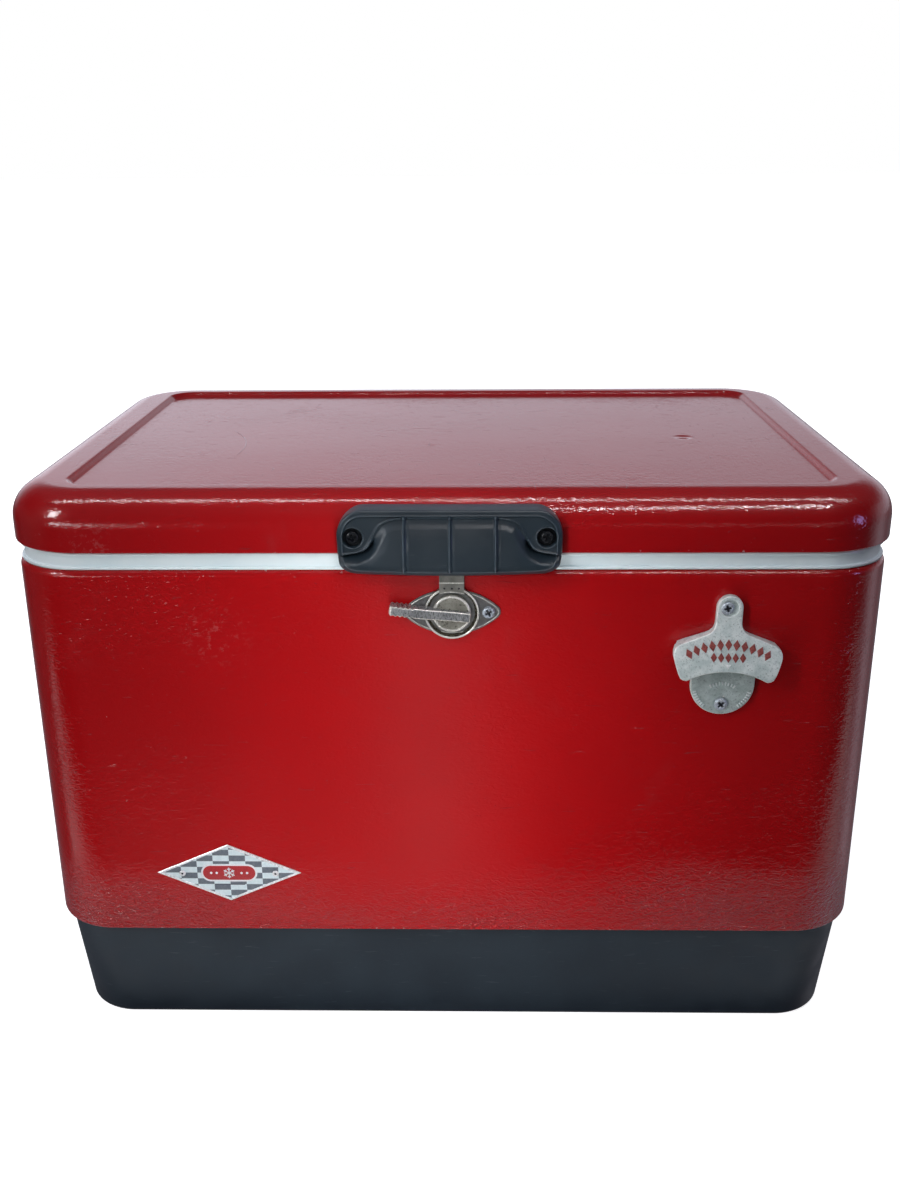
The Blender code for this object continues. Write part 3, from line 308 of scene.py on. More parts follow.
def badge_print():
    """Printed chequer of pale and grey cells on thin polished sheet."""
    values = {"Metallic": 0.1, "Coat Weight": 0.6, "Coat Roughness": 0.12, "IOR": 1.5}
    sheet = Surface("badge_print", values)
    corner = Vector((BADGE.x + 0.4 * MM, BADGE.y - 0.5, BADGE.z))
    moved = sheet.vectors("SUBTRACT", sheet.place(), corner)["Vector"]
    cells = sheet.vectors("DIVIDE", moved, Vector((11.75, 1000.0, 4.75)) * MM)["Vector"]
    chequer = sheet.put("ShaderNodeTexChecker", {"Vector": cells, "Scale": 1.0}).outputs["Fac"]
    wear = sheet.noise(500.0, 4.0, 0.7)
    share = sheet.ramp(wear, 0.35, 0.7)
    pale = sheet.blend(share, (0.66, 0.78, 0.82), (0.78, 0.88, 0.91))
    grey = sheet.blend(share, (0.13, 0.155, 0.19), (0.18, 0.21, 0.24))
    roughness = sheet.ramp(wear, 0.3, 0.7, 0.28, 0.42)
    return sheet.finish(sheet.blend(chequer, grey, pale), roughness, sheet.bump(wear, 0.01 * MM, 0.5))


def small_print(name, low, high, rough=0.35):
    """Enamel of a small printed or painted mark, with fine wear."""
    enamel = Surface(name, {"Coat Weight": 0.5, "Coat Roughness": 0.2, "IOR": 1.5})
    wear = enamel.noise(900.0, 4.0, 0.7)
    colour = enamel.blend(enamel.ramp(wear, 0.35, 0.68), low, high)
    roughness = enamel.ramp(wear, 0.3, 0.7, rough, rough + 0.2)
    return enamel.finish(colour, roughness, enamel.bump(wear, 0.03 * MM, 0.6))


RED = red_paint("red_enamel_body", 0.85 * MM, 0.05, 1.0)
# The lid's copy is the same enamel made darker: painted shade.
RED_LID = red_paint("red_enamel_lid", 0.42 * MM, 0.09, 0.87)

# Plastics: darkest and palest tone, roughness, depth of the grain in mm, share of scuffed streaks, and a
# share of painted edge highlight and corner shade.
WHITE = moulded_plastic("white_liner_plastic", (0.82, 0.93, 0.96), (0.87, 0.96, 0.98), 0.34, 0.006, 0.03)
BLACK = moulded_plastic("black_base_plastic", (0.016, 0.025, 0.036), (0.022, 0.034, 0.047), 0.5, 0.02, 0.14)
# The grip's paler edges and darker corners are painted highlight and painted shade.
GRIP_BLACK = moulded_plastic(
    "black_grip_plastic", (0.013, 0.023, 0.032), (0.018, 0.030, 0.041), 0.36, 0.022, 0.06, edge_light_and_wear=0.8
)
RUBBER = moulded_plastic("black_grip_rubber", (0.012, 0.013, 0.015), (0.020, 0.021, 0.023), 0.62, 0.02, 0.05)
BLACK_SCREW = moulded_plastic(
    "black_screw_finish", (0.006, 0.007, 0.009), (0.010, 0.011, 0.013), 0.20, 0.003, 0.02
)
# Near-black for the grip's screw wells and the black screws' recesses: painted shade.
WELL_SHADE = moulded_plastic("black_well_shade", (0.003, 0.004, 0.006), (0.005, 0.006, 0.008), 0.45, 0.01)

# Metals: darkest and palest tone, roughness, depth of the pits in mm, share of dull spots, metallic share.
STEEL = worn_metal("stamped_steel", (0.46, 0.45, 0.42), (0.60, 0.59, 0.56), 0.3, 0.012, 0.25, 0.8, (1, 1, 8))
PLATE_STEEL = worn_metal(
    "latch_plate_steel", (0.17, 0.17, 0.175), (0.27, 0.27, 0.27), 0.34, 0.01, 0.25, 0.6, (5, 1, 1)
)
CUP_STEEL = worn_metal("latch_cup_steel", (0.09, 0.083, 0.062), (0.16, 0.145, 0.11), 0.26, 0.01, 0.2, 0.7)
ROTOR_STEEL = worn_metal("latch_disc_steel", (0.27, 0.265, 0.225), (0.40, 0.39, 0.34), 0.30, 0.01, 0.3, 0.5)
LEVER_STEEL = worn_metal(
    "latch_lever_steel", (0.26, 0.27, 0.28), (0.38, 0.39, 0.40), 0.28, 0.012, 0.25, 0.6, (4, 1, 1)
)
STRIKE_STEEL = worn_metal(
    "strike_steel", (0.19, 0.19, 0.175), (0.29, 0.285, 0.26), 0.34, 0.012, 0.3, 0.5, (6, 1, 1)
)
# Pale steel for rims, the bead, the strike's bend and the lever's edges: painted highlight.
HIGHLIGHT_STEEL = worn_metal("painted_highlight_steel", (0.72, 0.71, 0.66), (0.86, 0.85, 0.8), 0.2, 0.004, 0.05, 0.4)
ROD_STEEL = worn_metal(
    "rod_steel", (0.50, 0.50, 0.49), (0.62, 0.62, 0.61), 0.24, 0.008, 0.12, 0.85, (1, 8, 8)
)
# The zinc's paler edges are partly wear and partly painted highlight.
ZINC = worn_metal(
    "cast_zinc", (0.58, 0.69, 0.67), (0.84, 0.92, 0.90), 0.38, 0.13, 0.6, 0.25,
    stain=(0.20, 0.27, 0.25), edge_light_and_wear=0.85,
)
ZINC_SHADED = worn_metal(
    "cast_zinc_shaded", (0.41, 0.50, 0.48), (0.60, 0.69, 0.67), 0.40, 0.13, 0.6, 0.25,
    stain=(0.14, 0.19, 0.18), edge_light_and_wear=0.85,
)
# Paler zinc for the raised ticks on the opener's foot: painted highlight.
ZINC_HIGHLIGHT = worn_metal("cast_zinc_painted_highlight", (0.84, 0.92, 0.91), (0.95, 0.98, 0.97), 0.36, 0.03, 0.2, 0.4)
SCREW_STEEL = worn_metal("zinc_plated_screw", (0.46, 0.53, 0.61), (0.64, 0.70, 0.77), 0.26, 0.01, 0.2, 0.5)
# Near-black for the steel screws' recesses and the strike's dimples: painted shade.
RECESS_SHADE = worn_metal("painted_recess_shade", (0.02, 0.02, 0.025), (0.05, 0.05, 0.06), 0.5, 0.01, 0.2, 0.3)
RIM_SILVER = worn_metal("badge_rim_silver", (0.86, 0.86, 0.88), (0.96, 0.96, 0.97), 0.25, 0.002, 0.03, 0.25)

FOAM = foam_surface()
CHEQUER = badge_print()
EMBLEM_RED = small_print("emblem_red", (0.40, 0.010, 0.016), (0.52, 0.026, 0.030))
EMBLEM_WHITE = small_print("emblem_white", (0.72, 0.74, 0.76), (0.84, 0.86, 0.88))
EMBLEM_DARK = small_print("emblem_dark", (0.06, 0.07, 0.09), (0.10, 0.11, 0.13))
MARK_RED = small_print("opener_mark_red", (0.20, 0.022, 0.018), (0.36, 0.070, 0.05), 0.45)


# ---------------------------------------------------------------- meshes


def add_object(name, data):
    obj = bpy.data.objects.new(name, data)
    bpy.context.scene.collection.objects.link(obj)
    return obj


def make_piece(name, mesh, body, surface, nodes=(), smooth=35):
    """Puts a mesh in the scene as a piece that rides on a body and stands for CAD nodes."""
    piece = add_object(name, mesh)
    mesh.materials.clear()
    mesh.materials.append(surface)
    mesh.shade_smooth()
    mesh.set_sharp_from_angle(angle=math.radians(smooth))
    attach(piece, body)
    if nodes:
        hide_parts(*nodes)
    return piece


def paint_faces(piece, surface, test):
    """Gives the faces that pass the test their own material."""
    piece.data.materials.append(surface)
    number = len(piece.data.materials) - 1
    for face in piece.data.polygons:
        if test(face):
            face.material_index = number


def new_mesh(bm, name):
    mesh = bpy.data.meshes.new(name)
    bm.to_mesh(mesh)
    bm.free()
    return mesh


def to_mesh(bm, name, outward=True):
    """A mesh from bm with its doubled vertices joined and, if outward, its faces turned outwards."""
    bmesh.ops.remove_doubles(bm, verts=bm.verts, dist=WELD)
    if outward:
        bmesh.ops.recalc_face_normals(bm, faces=bm.faces)
    return new_mesh(bm, name)


def joined(name, parts):
    """One mesh made of several, which are used up."""
    bm = bmesh.new()
    for part in parts:
        bm.from_mesh(part)
        bpy.data.meshes.remove(part)
    return new_mesh(bm, name)


def in_mm(points):
    """Pairs of numbers given in millimetres."""
    return [(a * MM, b * MM) for a, b in points]


def skin(bm, rings, closed=True):
    """Quads between neighbouring rings, or rows, of vertices."""
    for low, high in zip(rings, rings[1:]):
        count = len(low)
        for i in range(count if closed else count - 1):
            j = (i + 1) % count
            bm.faces.new((low[i], low[j], high[j], high[i]))


def even_normals(piece):
    """Lets the large faces set the shading, so that flat panels stay flat beside their fillets."""
    modifier = piece.modifiers.new("even_normals", "WEIGHTED_NORMAL")
    modifier.keep_sharp = True
    modifier.weight = 90


def soften(piece, width):
    modifier = piece.modifiers.new("soft_edges", "BEVEL")
    modifier.width = width
    modifier.segments = 2
    modifier.limit_method = "ANGLE"
    modifier.angle_limit = math.radians(35)
    modifier.harden_normals = False


def spread(low, high, count):
    """Evenly spaced numbers from low to high, count steps apart."""
    return [low + (high - low) * i / count for i in range(count + 1)]


def all_round(count):
    """Evenly spaced angles in radians all the way round, without the last, which is the first again."""
    return [math.tau * step / count for step in range(count)]


def turns(start, end, count):
    """Evenly spaced angles in radians, between two angles in degrees."""
    return [math.radians(angle) for angle in spread(start, end, count)]


def shown_mesh(obj):
    """The mesh of an object with its modifiers, as a new mesh."""
    graph = bpy.context.evaluated_depsgraph_get()
    graph.update()
    return bpy.data.meshes.new_from_object(obj.evaluated_get(graph))


def rounded_rectangle(half, corner, z):
    """Points of a rounded rectangle at height z, counter-clockwise."""
    points = []
    corner = max(corner, 0.5 * MM)
    for quarter, (sx, sy) in enumerate(((1, 1), (-1, 1), (-1, -1), (1, -1))):
        centre = Vector((sx * (half[0] - corner), sy * (half[1] - corner), z))
        for step in range(CORNER_STEPS + 1):
            angle = math.radians(90) * (quarter + step / CORNER_STEPS)
            points.append(centre + corner * Vector((math.cos(angle), math.sin(angle), 0)))
    return points


def loft(rings, fill_first=False, fill_last=False):
    """A skin over closed rings of points."""
    bm = bmesh.new()
    made = [[bm.verts.new(p) for p in ring] for ring in rings]
    skin(bm, made)
    if fill_first:
        bm.faces.new(made[0][::-1])
    if fill_last:
        bm.faces.new(made[-1])
    return bm


def shell(name, sections, thickness, body, surface, node, fill="", inside_out=False):
    """A sheet over rounded rectangles of (half sizes, corner radius, height), thickened inwards.

    fill is "first" or "last" for the section that is closed with a flat panel.
    """
    outlines = [rounded_rectangle(*section) for section in sections]
    bm = loft(outlines, fill == "first", fill == "last")
    if inside_out:
        bmesh.ops.reverse_faces(bm, faces=bm.faces)
    mesh = to_mesh(bm, name, outward=False)
    piece = make_piece(name, mesh, body, surface, (node,), 50)
    modifier = piece.modifiers.new("thickness", "SOLIDIFY")
    modifier.thickness = thickness
    modifier.offset = -1
    modifier.use_even_offset = True
    even_normals(piece)
    return piece


def arc(half, corner, z, radius, start, end, steps):
    """Sections of a rounded edge. At 0 degrees it is at the full half sizes, at 90 it is at height z."""
    level = z - radius if end > 0 or start > 0 else z + radius
    sections = []
    for angle in turns(start, end, steps):
        shrink = radius * (1 - math.cos(angle))
        sections.append((half - FLAT * shrink, corner - shrink, level + radius * math.sin(angle)))
    return sections


def smooth_step(t):
    t = min(1.0, max(0.0, t))
    return t * t * (3 - 2 * t)


def blend_step(value, start, end):
    return smooth_step((value - start) / (end - start))


def arc_points(centre, radius, start, end, steps):
    """Points of a circular arc in the (x, z) plane, by angle in degrees."""
    x, z = centre
    return [(x + radius * math.cos(a), z + radius * math.sin(a)) for a in turns(start, end, steps)]


def circle_points(centre, radius, steps):
    return arc_points(centre, radius, 0, 360 - 360 / steps, steps - 1)


def plate_mesh(points, near, far, name, edge=0.0):
    """A flat plate with an outline of (x, z) points between two Y values, its edges rounded by edge."""
    bm = bmesh.new()
    front = [bm.verts.new((x, far, z)) for x, z in points]
    back = [bm.verts.new((x, near, z)) for x, z in points]
    bm.faces.new(front)
    bm.faces.new(back[::-1])
    for i in range(len(points)):
        j = (i + 1) % len(points)
        bm.faces.new((front[i], back[i], back[j], front[j]))
    bmesh.ops.recalc_face_normals(bm, faces=bm.faces)
    if edge:
        rims = [e for e in bm.edges if abs(e.verts[0].co.y - e.verts[1].co.y) < 1e-7]
        bmesh.ops.bevel(bm, geom=rims, offset=edge, segments=3, profile=0.5, affect="EDGES")
    return to_mesh(bm, name)


def turned_mesh(name, profile, steps=64, knurl=None):
    """A turned body from a closed or axis-to-axis profile of (radius, height) along +Z.

    knurl(radius, angle) may give a changed radius.
    """
    bm = bmesh.new()
    rings = []
    for radius, height in profile:
        ring = []
        for angle in all_round(steps):
            here = knurl(radius, angle) if knurl else radius
            ring.append(bm.verts.new((here * math.cos(angle), here * math.sin(angle), height)))
        rings.append(ring)
    if profile[0][0] > 0.01 * MM:
        rings.append(rings[0])
    skin(bm, rings)
    bmesh.ops.remove_doubles(bm, verts=bm.verts, dist=0.002 * MM)
    return to_mesh(bm, name)


def aim(mesh, location, direction):
    """Moves a mesh built along +Z so that it stands at location along direction."""
    turn = Vector(direction).to_track_quat("Z", "Y").to_matrix().to_4x4()
    mesh.transform(Matrix.Translation(location) @ turn)


def grid_body(name, us, vs, front, back):
    """A closed body between two surfaces over a grid; front and back give a point for (u, v)."""
    bm = bmesh.new()
    rims = []
    for surface_of in (front, back):
        rows = [[bm.verts.new(surface_of(u, v)) for u in us] for v in vs]
        skin(bm, rows, closed=False)
        sides = [row[-1] for row in rows[1:-1]], [row[0] for row in rows[-2:0:-1]]
        rims.append(rows[0] + sides[0] + rows[-1][::-1] + sides[1])
    skin(bm, rims)
    return to_mesh(bm, name)


# ---------------------------------------------------------------- shells of the body


def make_lid_shell():
    """The lid's pressing: a hem below, a rounded top edge, and a top panel a step lower than its border."""
    hem = [(LID_HALF - FLAT * LID_HEM, LID_CORNER - LID_HEM, LID_LOW)]
    recess = []
    for t in spread(0, 1, 10):
        shrink = (5.2 * t - 0.9) * MM
        level = HEIGHT - RECESS_DEPTH * smooth_step(t)
        recess.append((RECESS_HALF - FLAT * shrink, RECESS_CORNER - shrink, level))
    border, floor = recess[0], recess[-1]
    sections = hem + arc(LID_HALF, LID_CORNER, LID_LOW, 1.2 * MM, -90, 0, 3)
    sections += arc(LID_HALF, LID_CORNER, HEIGHT, LID_FILLET, 0, 90, 20)
    sections += [(border[0] + FLAT * 1.5 * MM, border[1] + 1.5 * MM, HEIGHT)] + recess
    sections.append((floor[0] - FLAT * 2 * MM, floor[1] - 2 * MM, floor[2]))
    shell("lid_pressing", sections, 1 * MM, "lid", RED_LID, "lid_shell", "last")


def make_belt():
    """The belt: a hem below, a rounded upper edge and a flange under the tub's ledge."""
    lower = arc(BELT_HALF, BELT_CORNER, BELT_LOW, 1.5 * MM, -90, 0, 5)
    upper = arc(BELT_HALF, BELT_CORNER, BELT_HIGH, 5 * MM, 0, 90, 9)
    hem = (BELT_HALF - FLAT * 4.8 * MM, BASE_CORNER + 0.5 * MM, BELT_LOW)
    flange = (BELT_HALF - FLAT * 9 * MM, BELT_CORNER - 9 * MM, BELT_HIGH)
    sections = [hem] + lower + upper + [flange]
    shell("belt_pressing", sections, 1 * MM, "body", RED, "steel_belt")


def make_base():
    """The base: drafted walls up to the rim behind the belt."""
    foot = BASE_HALF - FLAT * BASE_DRAFT * (BASE_RIM - BASE_FILLET)
    sections = arc(foot, BASE_CORNER, 0, BASE_FILLET, -90, 0, 9)
    band = BASE_HALF - FLAT * BASE_DRAFT * (BASE_RIM - BELT_LOW)
    sections += [(band, BASE_CORNER, BELT_LOW), (BASE_HALF, BASE_CORNER, BASE_RIM)]
    shell("base_moulding", sections, 3 * MM, "body", BLACK, "base_tray", "first")


def tub_sections():
    """The tub's inside, from its rounded lip down the tapered walls to the floor."""
    sections = []
    for angle in turns(90, 0, 8):
        back = TUB_LIP * (1 - math.cos(angle))
        level = RIM_HIGH - TUB_LIP + TUB_LIP * math.sin(angle)
        sections.append((TUB_HALF + FLAT * back, TUB_CORNER + back, level))
    foot = TUB_HALF - FLAT * TUB_TAPER
    for angle in turns(0, 90, 10):
        shrink = TUB_FILLET * (1 - math.cos(angle))
        level = TUB_FLOOR + TUB_FILLET * (1 - math.sin(angle))
        sections.append((foot - FLAT * shrink, TUB_CORNER - TUB_TAPER - shrink, level))
    return sections


def make_tub():
    """The tub: a ledge over the belt, the pale band under the lid, and the hollow."""
    ledge = RIM_HALF + FLAT * 2 * MM
    corner = BELT_CORNER - 3.5 * MM
    step = BELT_HIGH + GAP
    sections = [(ledge, corner + 2 * MM, step)]
    sections += arc(ledge, corner + 2 * MM, step + 2 * MM, 0.8 * MM, 0, 90, 3)
    sections += [(RIM_HALF, corner, step + 2 * MM)]
    sections += arc(RIM_HALF, corner, RIM_HIGH, 2 * MM, 0, 90, 5) + tub_sections()
    shell("tub_moulding", sections, 1.6 * MM, "body", WHITE, "inner_liner", "last")


def make_lid_liner():
    """The lid's inside: an edge, a plug that drops into the tub, and a shallow raised panel."""
    edge = LID_HALF - FLAT * 2.5 * MM
    under = RIM_HIGH + GAP
    plug = TUB_HALF - FLAT * 6 * MM
    corner = TUB_CORNER - 4 * MM
    low = under - 11 * MM
    sections = [(edge, LID_CORNER - 2.5 * MM, LID_LOW - GAP), (edge, LID_CORNER - 2.5 * MM, under)]
    sections += [(plug + FLAT * 1.5 * MM, corner + 1.5 * MM, under)]
    sections += [(plug + FLAT * 0.4 * MM, corner, under - 0.6 * MM)]
    sections += arc(plug, corner, low, 4 * MM, 0, -90, 7)
    panel = plug - FLAT * 22 * MM
    for t in spread(0, 1, 6):
        shrink = 6 * t * MM
        level = low + 2.4 * MM * smooth_step(t)
        sections.append((panel - FLAT * shrink, corner - 8 * MM - shrink * 0.5, level))
    shell("lid_inner_moulding", sections, 1.6 * MM, "lid", WHITE, "lid_liner", "last", True)


# ---------------------------------------------------------------- screws and rivets


def recess_depth(t, angle, head, cross):
    """How far, from 0 to 1, a Phillips recess or a pin's hollow middle goes in at (t, angle)."""
    if not cross:
        return 1 - blend_step(t, 0.30, 0.46)
    reach, half_width = 0.66 * head, 0.19 * head
    x, y = abs(t * head * math.cos(angle)), abs(t * head * math.sin(angle))
    cut = 0.0
    for along, across in ((x, y), (y, x)):
        side = 1 - blend_step(across, half_width * 0.6, half_width * 1.2)
        end = 1 - blend_step(along, reach * 0.6, reach)
        cut = max(cut, side * end)
    return cut


def screw_head(t, angle, head, rise, cross):
    """Height of a pan head at a share t of its radius."""
    dome = rise * (1 - 0.34 * t**2) if t < 0.8 else rise * (0.78 - 0.48 * ((t - 0.8) / 0.2) ** 2)
    return dome - recess_depth(t, angle, head, cross) * rise * 0.85


def screw_mesh(name, head, rise, length, shank, cross):
    """A screw along +Z with its seat at height 0."""
    steps = 72
    angles = all_round(steps)
    rings = []
    for t in spread(0, 1, 22):
        radius = t * head
        heights = [screw_head(t, angle, head, rise, cross) for angle in angles]
        rings.append([(radius * math.cos(a), radius * math.sin(a), z) for a, z in zip(angles, heights)])
    for radius, height in ((head, 0.0), (shank, 0.0), (shank, -length), (0.0, -length)):
        rings.append([(x, y, height) for x, y in circle_points((0, 0), radius, steps)])
    return to_mesh(loft(rings), name)


def make_screw(node, direction, body, surface, spin=None):
    """A fine screw, or without a spin a rivet, in the place of a CAD one, from the CAD one's box."""
    cross = spin is not None
    low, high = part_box(node)
    out = Vector(direction)
    axis = max(range(3), key=lambda i: abs(out[i]))
    across = (axis + 2) % 3 if axis != 2 else 0
    head = (high[across] - low[across]) / 2
    rise = 0.6 * head
    total = high[axis] - low[axis]
    seat = (low + high) / 2
    tip = high[axis] if out[axis] > 0 else low[axis]
    seat[axis] = tip - out[axis] * rise
    mesh = screw_mesh(f"{node}_fine", head, rise, total - rise, 0.42 * head, cross)
    turn = out.to_track_quat("Z", "Y").to_matrix().to_4x4() @ Matrix.Rotation(spin or 0, 4, "Z")
    place = Matrix.Translation(seat) @ turn
    mesh.transform(place)
    piece = make_piece(f"{node}_fine", mesh, body, surface, (node,), 50)
    back = place.inverted()

    def in_recess(face):
        here = back @ face.center
        t, angle = math.hypot(here.x, here.y) / head, math.atan2(here.y, here.x)
        return here.z > 0 and t < 0.8 and recess_depth(t, angle, head, cross) > 0.5

    # The recess is painted near-black: painted shade.
    paint_faces(piece, WELL_SHADE if surface is BLACK_SCREW else RECESS_SHADE, in_recess)


def make_fasteners():
    front = (0, -1, 0)
    for side, grip_spin, latch_spin in (("left", 0.35, 0.1), ("right", 1.25, 0.55)):
        make_screw(f"grip_screw_{side}", front, "lid", BLACK_SCREW, grip_spin)
        make_screw(f"latch_screw_{side}", front, "body", SCREW_STEEL, latch_spin)
        make_screw(f"badge_pin_{side}", front, "body", RIM_SILVER)
        make_screw(f"strike_rivet_{side}", front, "lid", STEEL)
    for number, end in enumerate(("top", "bottom")):
        make_screw(f"opener_screw_{end}", front, "body", SCREW_STEEL, 0.25 + 0.5 * number)
    for side, out in (("left", (-1, 0, 0)), ("right", (1, 0, 0))):
        for number, place in enumerate(("front", "rear")):
            for level in ("upper", "lower"):
                node = f"{side}_{place}_bracket_screw_{level}"
                make_screw(node, out, "body", SCREW_STEEL, 0.7 * number + 0.2)
        for body in ("body", "lid"):
            for number, label in enumerate("ab"):
                node = f"{side}_hinge_{body}_screw_{label}"
                make_screw(node, (0, 1, 0), body, SCREW_STEEL, 0.4 + 0.8 * number)


# ---------------------------------------------------------------- lid grip

# All in mm. u runs to the right from the grip's middle and v upwards from the floor. PAD is how far the flat
# pads beside the finger bell stand out from the middle of the chest, and BELL how far the bell passes them.
GRIP_HALF = Vector((72.5, 20.5))
GRIP_MIDDLE = GRIP_HIGH_CORNER.z / MM - GRIP_HALF.y
GRIP_ROUND = 17.0
PAD, BELL = 213.0, 8.0
RIB_PLACES = (-29.4, 0.0, 29.4)
SCREW_AT = (62.5, 388.8)
WELL_RADIUS, WELL_DEPTH = 6.0, 4.6
BELL_EDGE = [(30, 401.6), (38, 400.4), (43.8, 397.5), (46.0, 394.6), (47.8, 391.5), (50.0, 387.2)]
BELL_EDGE += [(52.1, 383.6), (54.0, 381.6), (56.6, 380.1), (60.0, 379.1), (64.3, 378.4), (68.0, 377.9)]
BELL_EDGE += [(74.0, 377.3)]
LIP_EDGE = [(48.6, 381.0), (50.2, 378.6), (52.6, 376.4), (55.6, 374.6), (59.4, 373.2), (63.2, 373.2)]
LIP_EDGE += [(66.8, 374.2), (70.0, 375.6), (74.0, 376.4)]


def line_distance(line, u, v):
    """Distance from (u, v) to a line of points, positive below it."""
    best, side = 1e9, 1.0
    for (ax, ay), (bx, by) in zip(line, line[1:]):
        dx, dy = bx - ax, by - ay
        t = min(1.0, max(0.0, ((u - ax) * dx + (v - ay) * dy) / (dx * dx + dy * dy)))
        away = math.hypot(u - ax - t * dx, v - ay - t * dy)
        if away < best:
            best = away
            side = -1.0 if dx * (v - ay) - dy * (u - ax) > 0 else 1.0
    return best * side


def bell_distance(u, v):
    """Distance from (u, v), in mm, to the edge of the finger bell, positive inside it."""
    if abs(u) < BELL_EDGE[0][0]:
        return BELL_EDGE[0][1] - v
    return line_distance(BELL_EDGE, abs(u), v)


def ridge(distance, width):
    """1 on a line, falling smoothly to 0 at half the width."""
    return 1 - smooth_step(abs(distance) / (width / 2))


def grip_face(u, v, inset):
    """How far the grip's face stands out, in mm, at (u, v), inset mm from its outline."""
    low_side = blend_step(GRIP_MIDDLE - v, -4.0, 12.0)
    out = PAD
    # A fine rim round the outline, with a shallow step down inside it.
    out += 0.5 * ridge(inset - 3.4, 1.5) - 0.9 * blend_step(inset, 3.6, 4.6) * (1 - 0.6 * low_side)
    # The finger bell, which bulges downwards and draws in again at its lower lip.
    inside = bell_distance(u, v)
    shape = blend_step(inside, -0.2, 6.5)
    rise = math.sin(math.pi / 2 * min(1.0, max(0.0, (403.5 - v) / 25.0))) ** 1.1
    out += (BELL - 0.9) * rise * shape * (0.7 + 0.3 * blend_step(inside, 0.0, 12.0))
    out -= 2.4 * blend_step(373.5 - v, 0.0, 8.0) * shape
    # A raised line along the bell's edge, and the hollows beside it above the lip.
    out += 1.0 * ridge(inside + 0.5, 1.7) * blend_step(inset, 2.0, 4.0)
    hollow = blend_step(inside, 0.2, 1.6) * blend_step(-line_distance(LIP_EDGE, abs(u), v), -0.4, 3.4)
    out -= 5.0 * hollow * blend_step(abs(u), 47.5, 51.0)
    # Upright ribs, each with a groove on its right.
    for place in RIB_PLACES:
        fade = blend_step(inset, 2.5, 4.4) * blend_step(404 - v, 0.0, 2.0)
        out += (1.7 * ridge(u - place, 2.5) - 0.5 * ridge(u - place - 1.9, 1.6)) * fade
    # Round wells for the two screws, each in a low collar.
    well = math.hypot(abs(u) - SCREW_AT[0], v - SCREW_AT[1])
    out += 0.35 * ridge(well - WELL_RADIUS - 1.1, 1.2)
    out += (PAD - WELL_DEPTH - out) * (1 - blend_step(well, WELL_RADIUS, WELL_RADIUS + 0.5))
    # The rounded outer edge, fuller along the bottom.
    out = min(out, PAD + BELL - 0.03)
    roll = 1.8 + 2.4 * low_side
    if inset < roll:
        out -= roll - math.sqrt(max(0.0, roll**2 - (roll - inset) ** 2))
    return out


def lid_face(v):
    """How far the lid's front stands out at height v, in mm, with a small clearance."""
    front, radius = (GAP - LID_FRONT) / MM, LID_FILLET / MM
    rise = min(radius, max(0.0, v - HEIGHT / MM + radius))
    return front - radius + math.sqrt(radius**2 - rise**2)


def grip_back(u, v, front):
    """The grip's back: it lies on the lid round its edge, and is hollow behind the bell for the fingers."""
    seat = lid_face(v)
    hollow = blend_step(52 - abs(u), 0.0, 4.0) * blend_step(394 - v, 0.0, 4.0)
    return min(front - 1.2, seat + (max(seat, front - 3.0) - seat) * hollow)


def grip_point(u, v, inset, front):
    """A point of the grip. The outline sags a little in the middle, and its lower corners are fuller."""
    drop = 2.0 * (1 - (u / GRIP_HALF.x) ** 2) * blend_step(GRIP_MIDDLE - v, 0.0, GRIP_HALF.y)
    centre = GRIP_HALF - FLAT * GRIP_ROUND
    across, down = abs(u) - centre.x, GRIP_MIDDLE - centre.y - v
    if across > 0 and down > 0:
        size = math.hypot(across, down)
        fuller = ((across / size) ** 3 + (down / size) ** 3) ** (-1 / 3)
        u = math.copysign(centre.x + across * fuller, u)
        v = GRIP_MIDDLE - centre.y - down * fuller
    face = grip_face(u, v, inset)
    out = face if front else grip_back(u, v, face)
    return Vector(((GRIP_X / MM + u) * MM, -out * MM, (v - drop) * MM))


def grip_ring(inset, columns):
    """Places (u, v) along the outline of the grip moved inwards, with columns on its straight edges."""
    half = GRIP_HALF - FLAT * inset
    corner = max(GRIP_ROUND - inset, 0.0)
    flat_u, flat_v = half.x - corner, half.y - corner
    rows = spread(-flat_v, flat_v, 12)
    quarter = turns(0, 90, 40)[1:-1]
    ring = [(half.x, v) for v in rows]
    ring += [(flat_u + corner * math.cos(a), flat_v + corner * math.sin(a)) for a in quarter]
    ring += [(-u, half.y) for u in columns]
    ring += [(-flat_u - corner * math.sin(a), flat_v + corner * math.cos(a)) for a in quarter]
    ring += [(-half.x, -v) for v in rows]
    ring += [(-flat_u - corner * math.cos(a), -flat_v - corner * math.sin(a)) for a in quarter]
    ring += [(u, -half.y) for u in columns]
    ring += [(flat_u + corner * math.sin(a), -flat_v - corner * math.cos(a)) for a in quarter]
    return [(u, GRIP_MIDDLE + v) for u, v in ring]


def grip_columns():
    """Even places along the straight edges, closer together over the ribs."""
    flat = GRIP_HALF.x - GRIP_ROUND
    places = set(round(u, 3) for u in spread(-flat, flat, 110))
    for rib in RIB_PLACES:
        places.update(round(rib + offset, 3) for offset in spread(-1.8, 1.8, 12))
    ordered = sorted(places)
    kept = [ordered[0]]
    for place in ordered[1:]:
        if place - kept[-1] > 0.2:
            kept.append(place)
    return kept


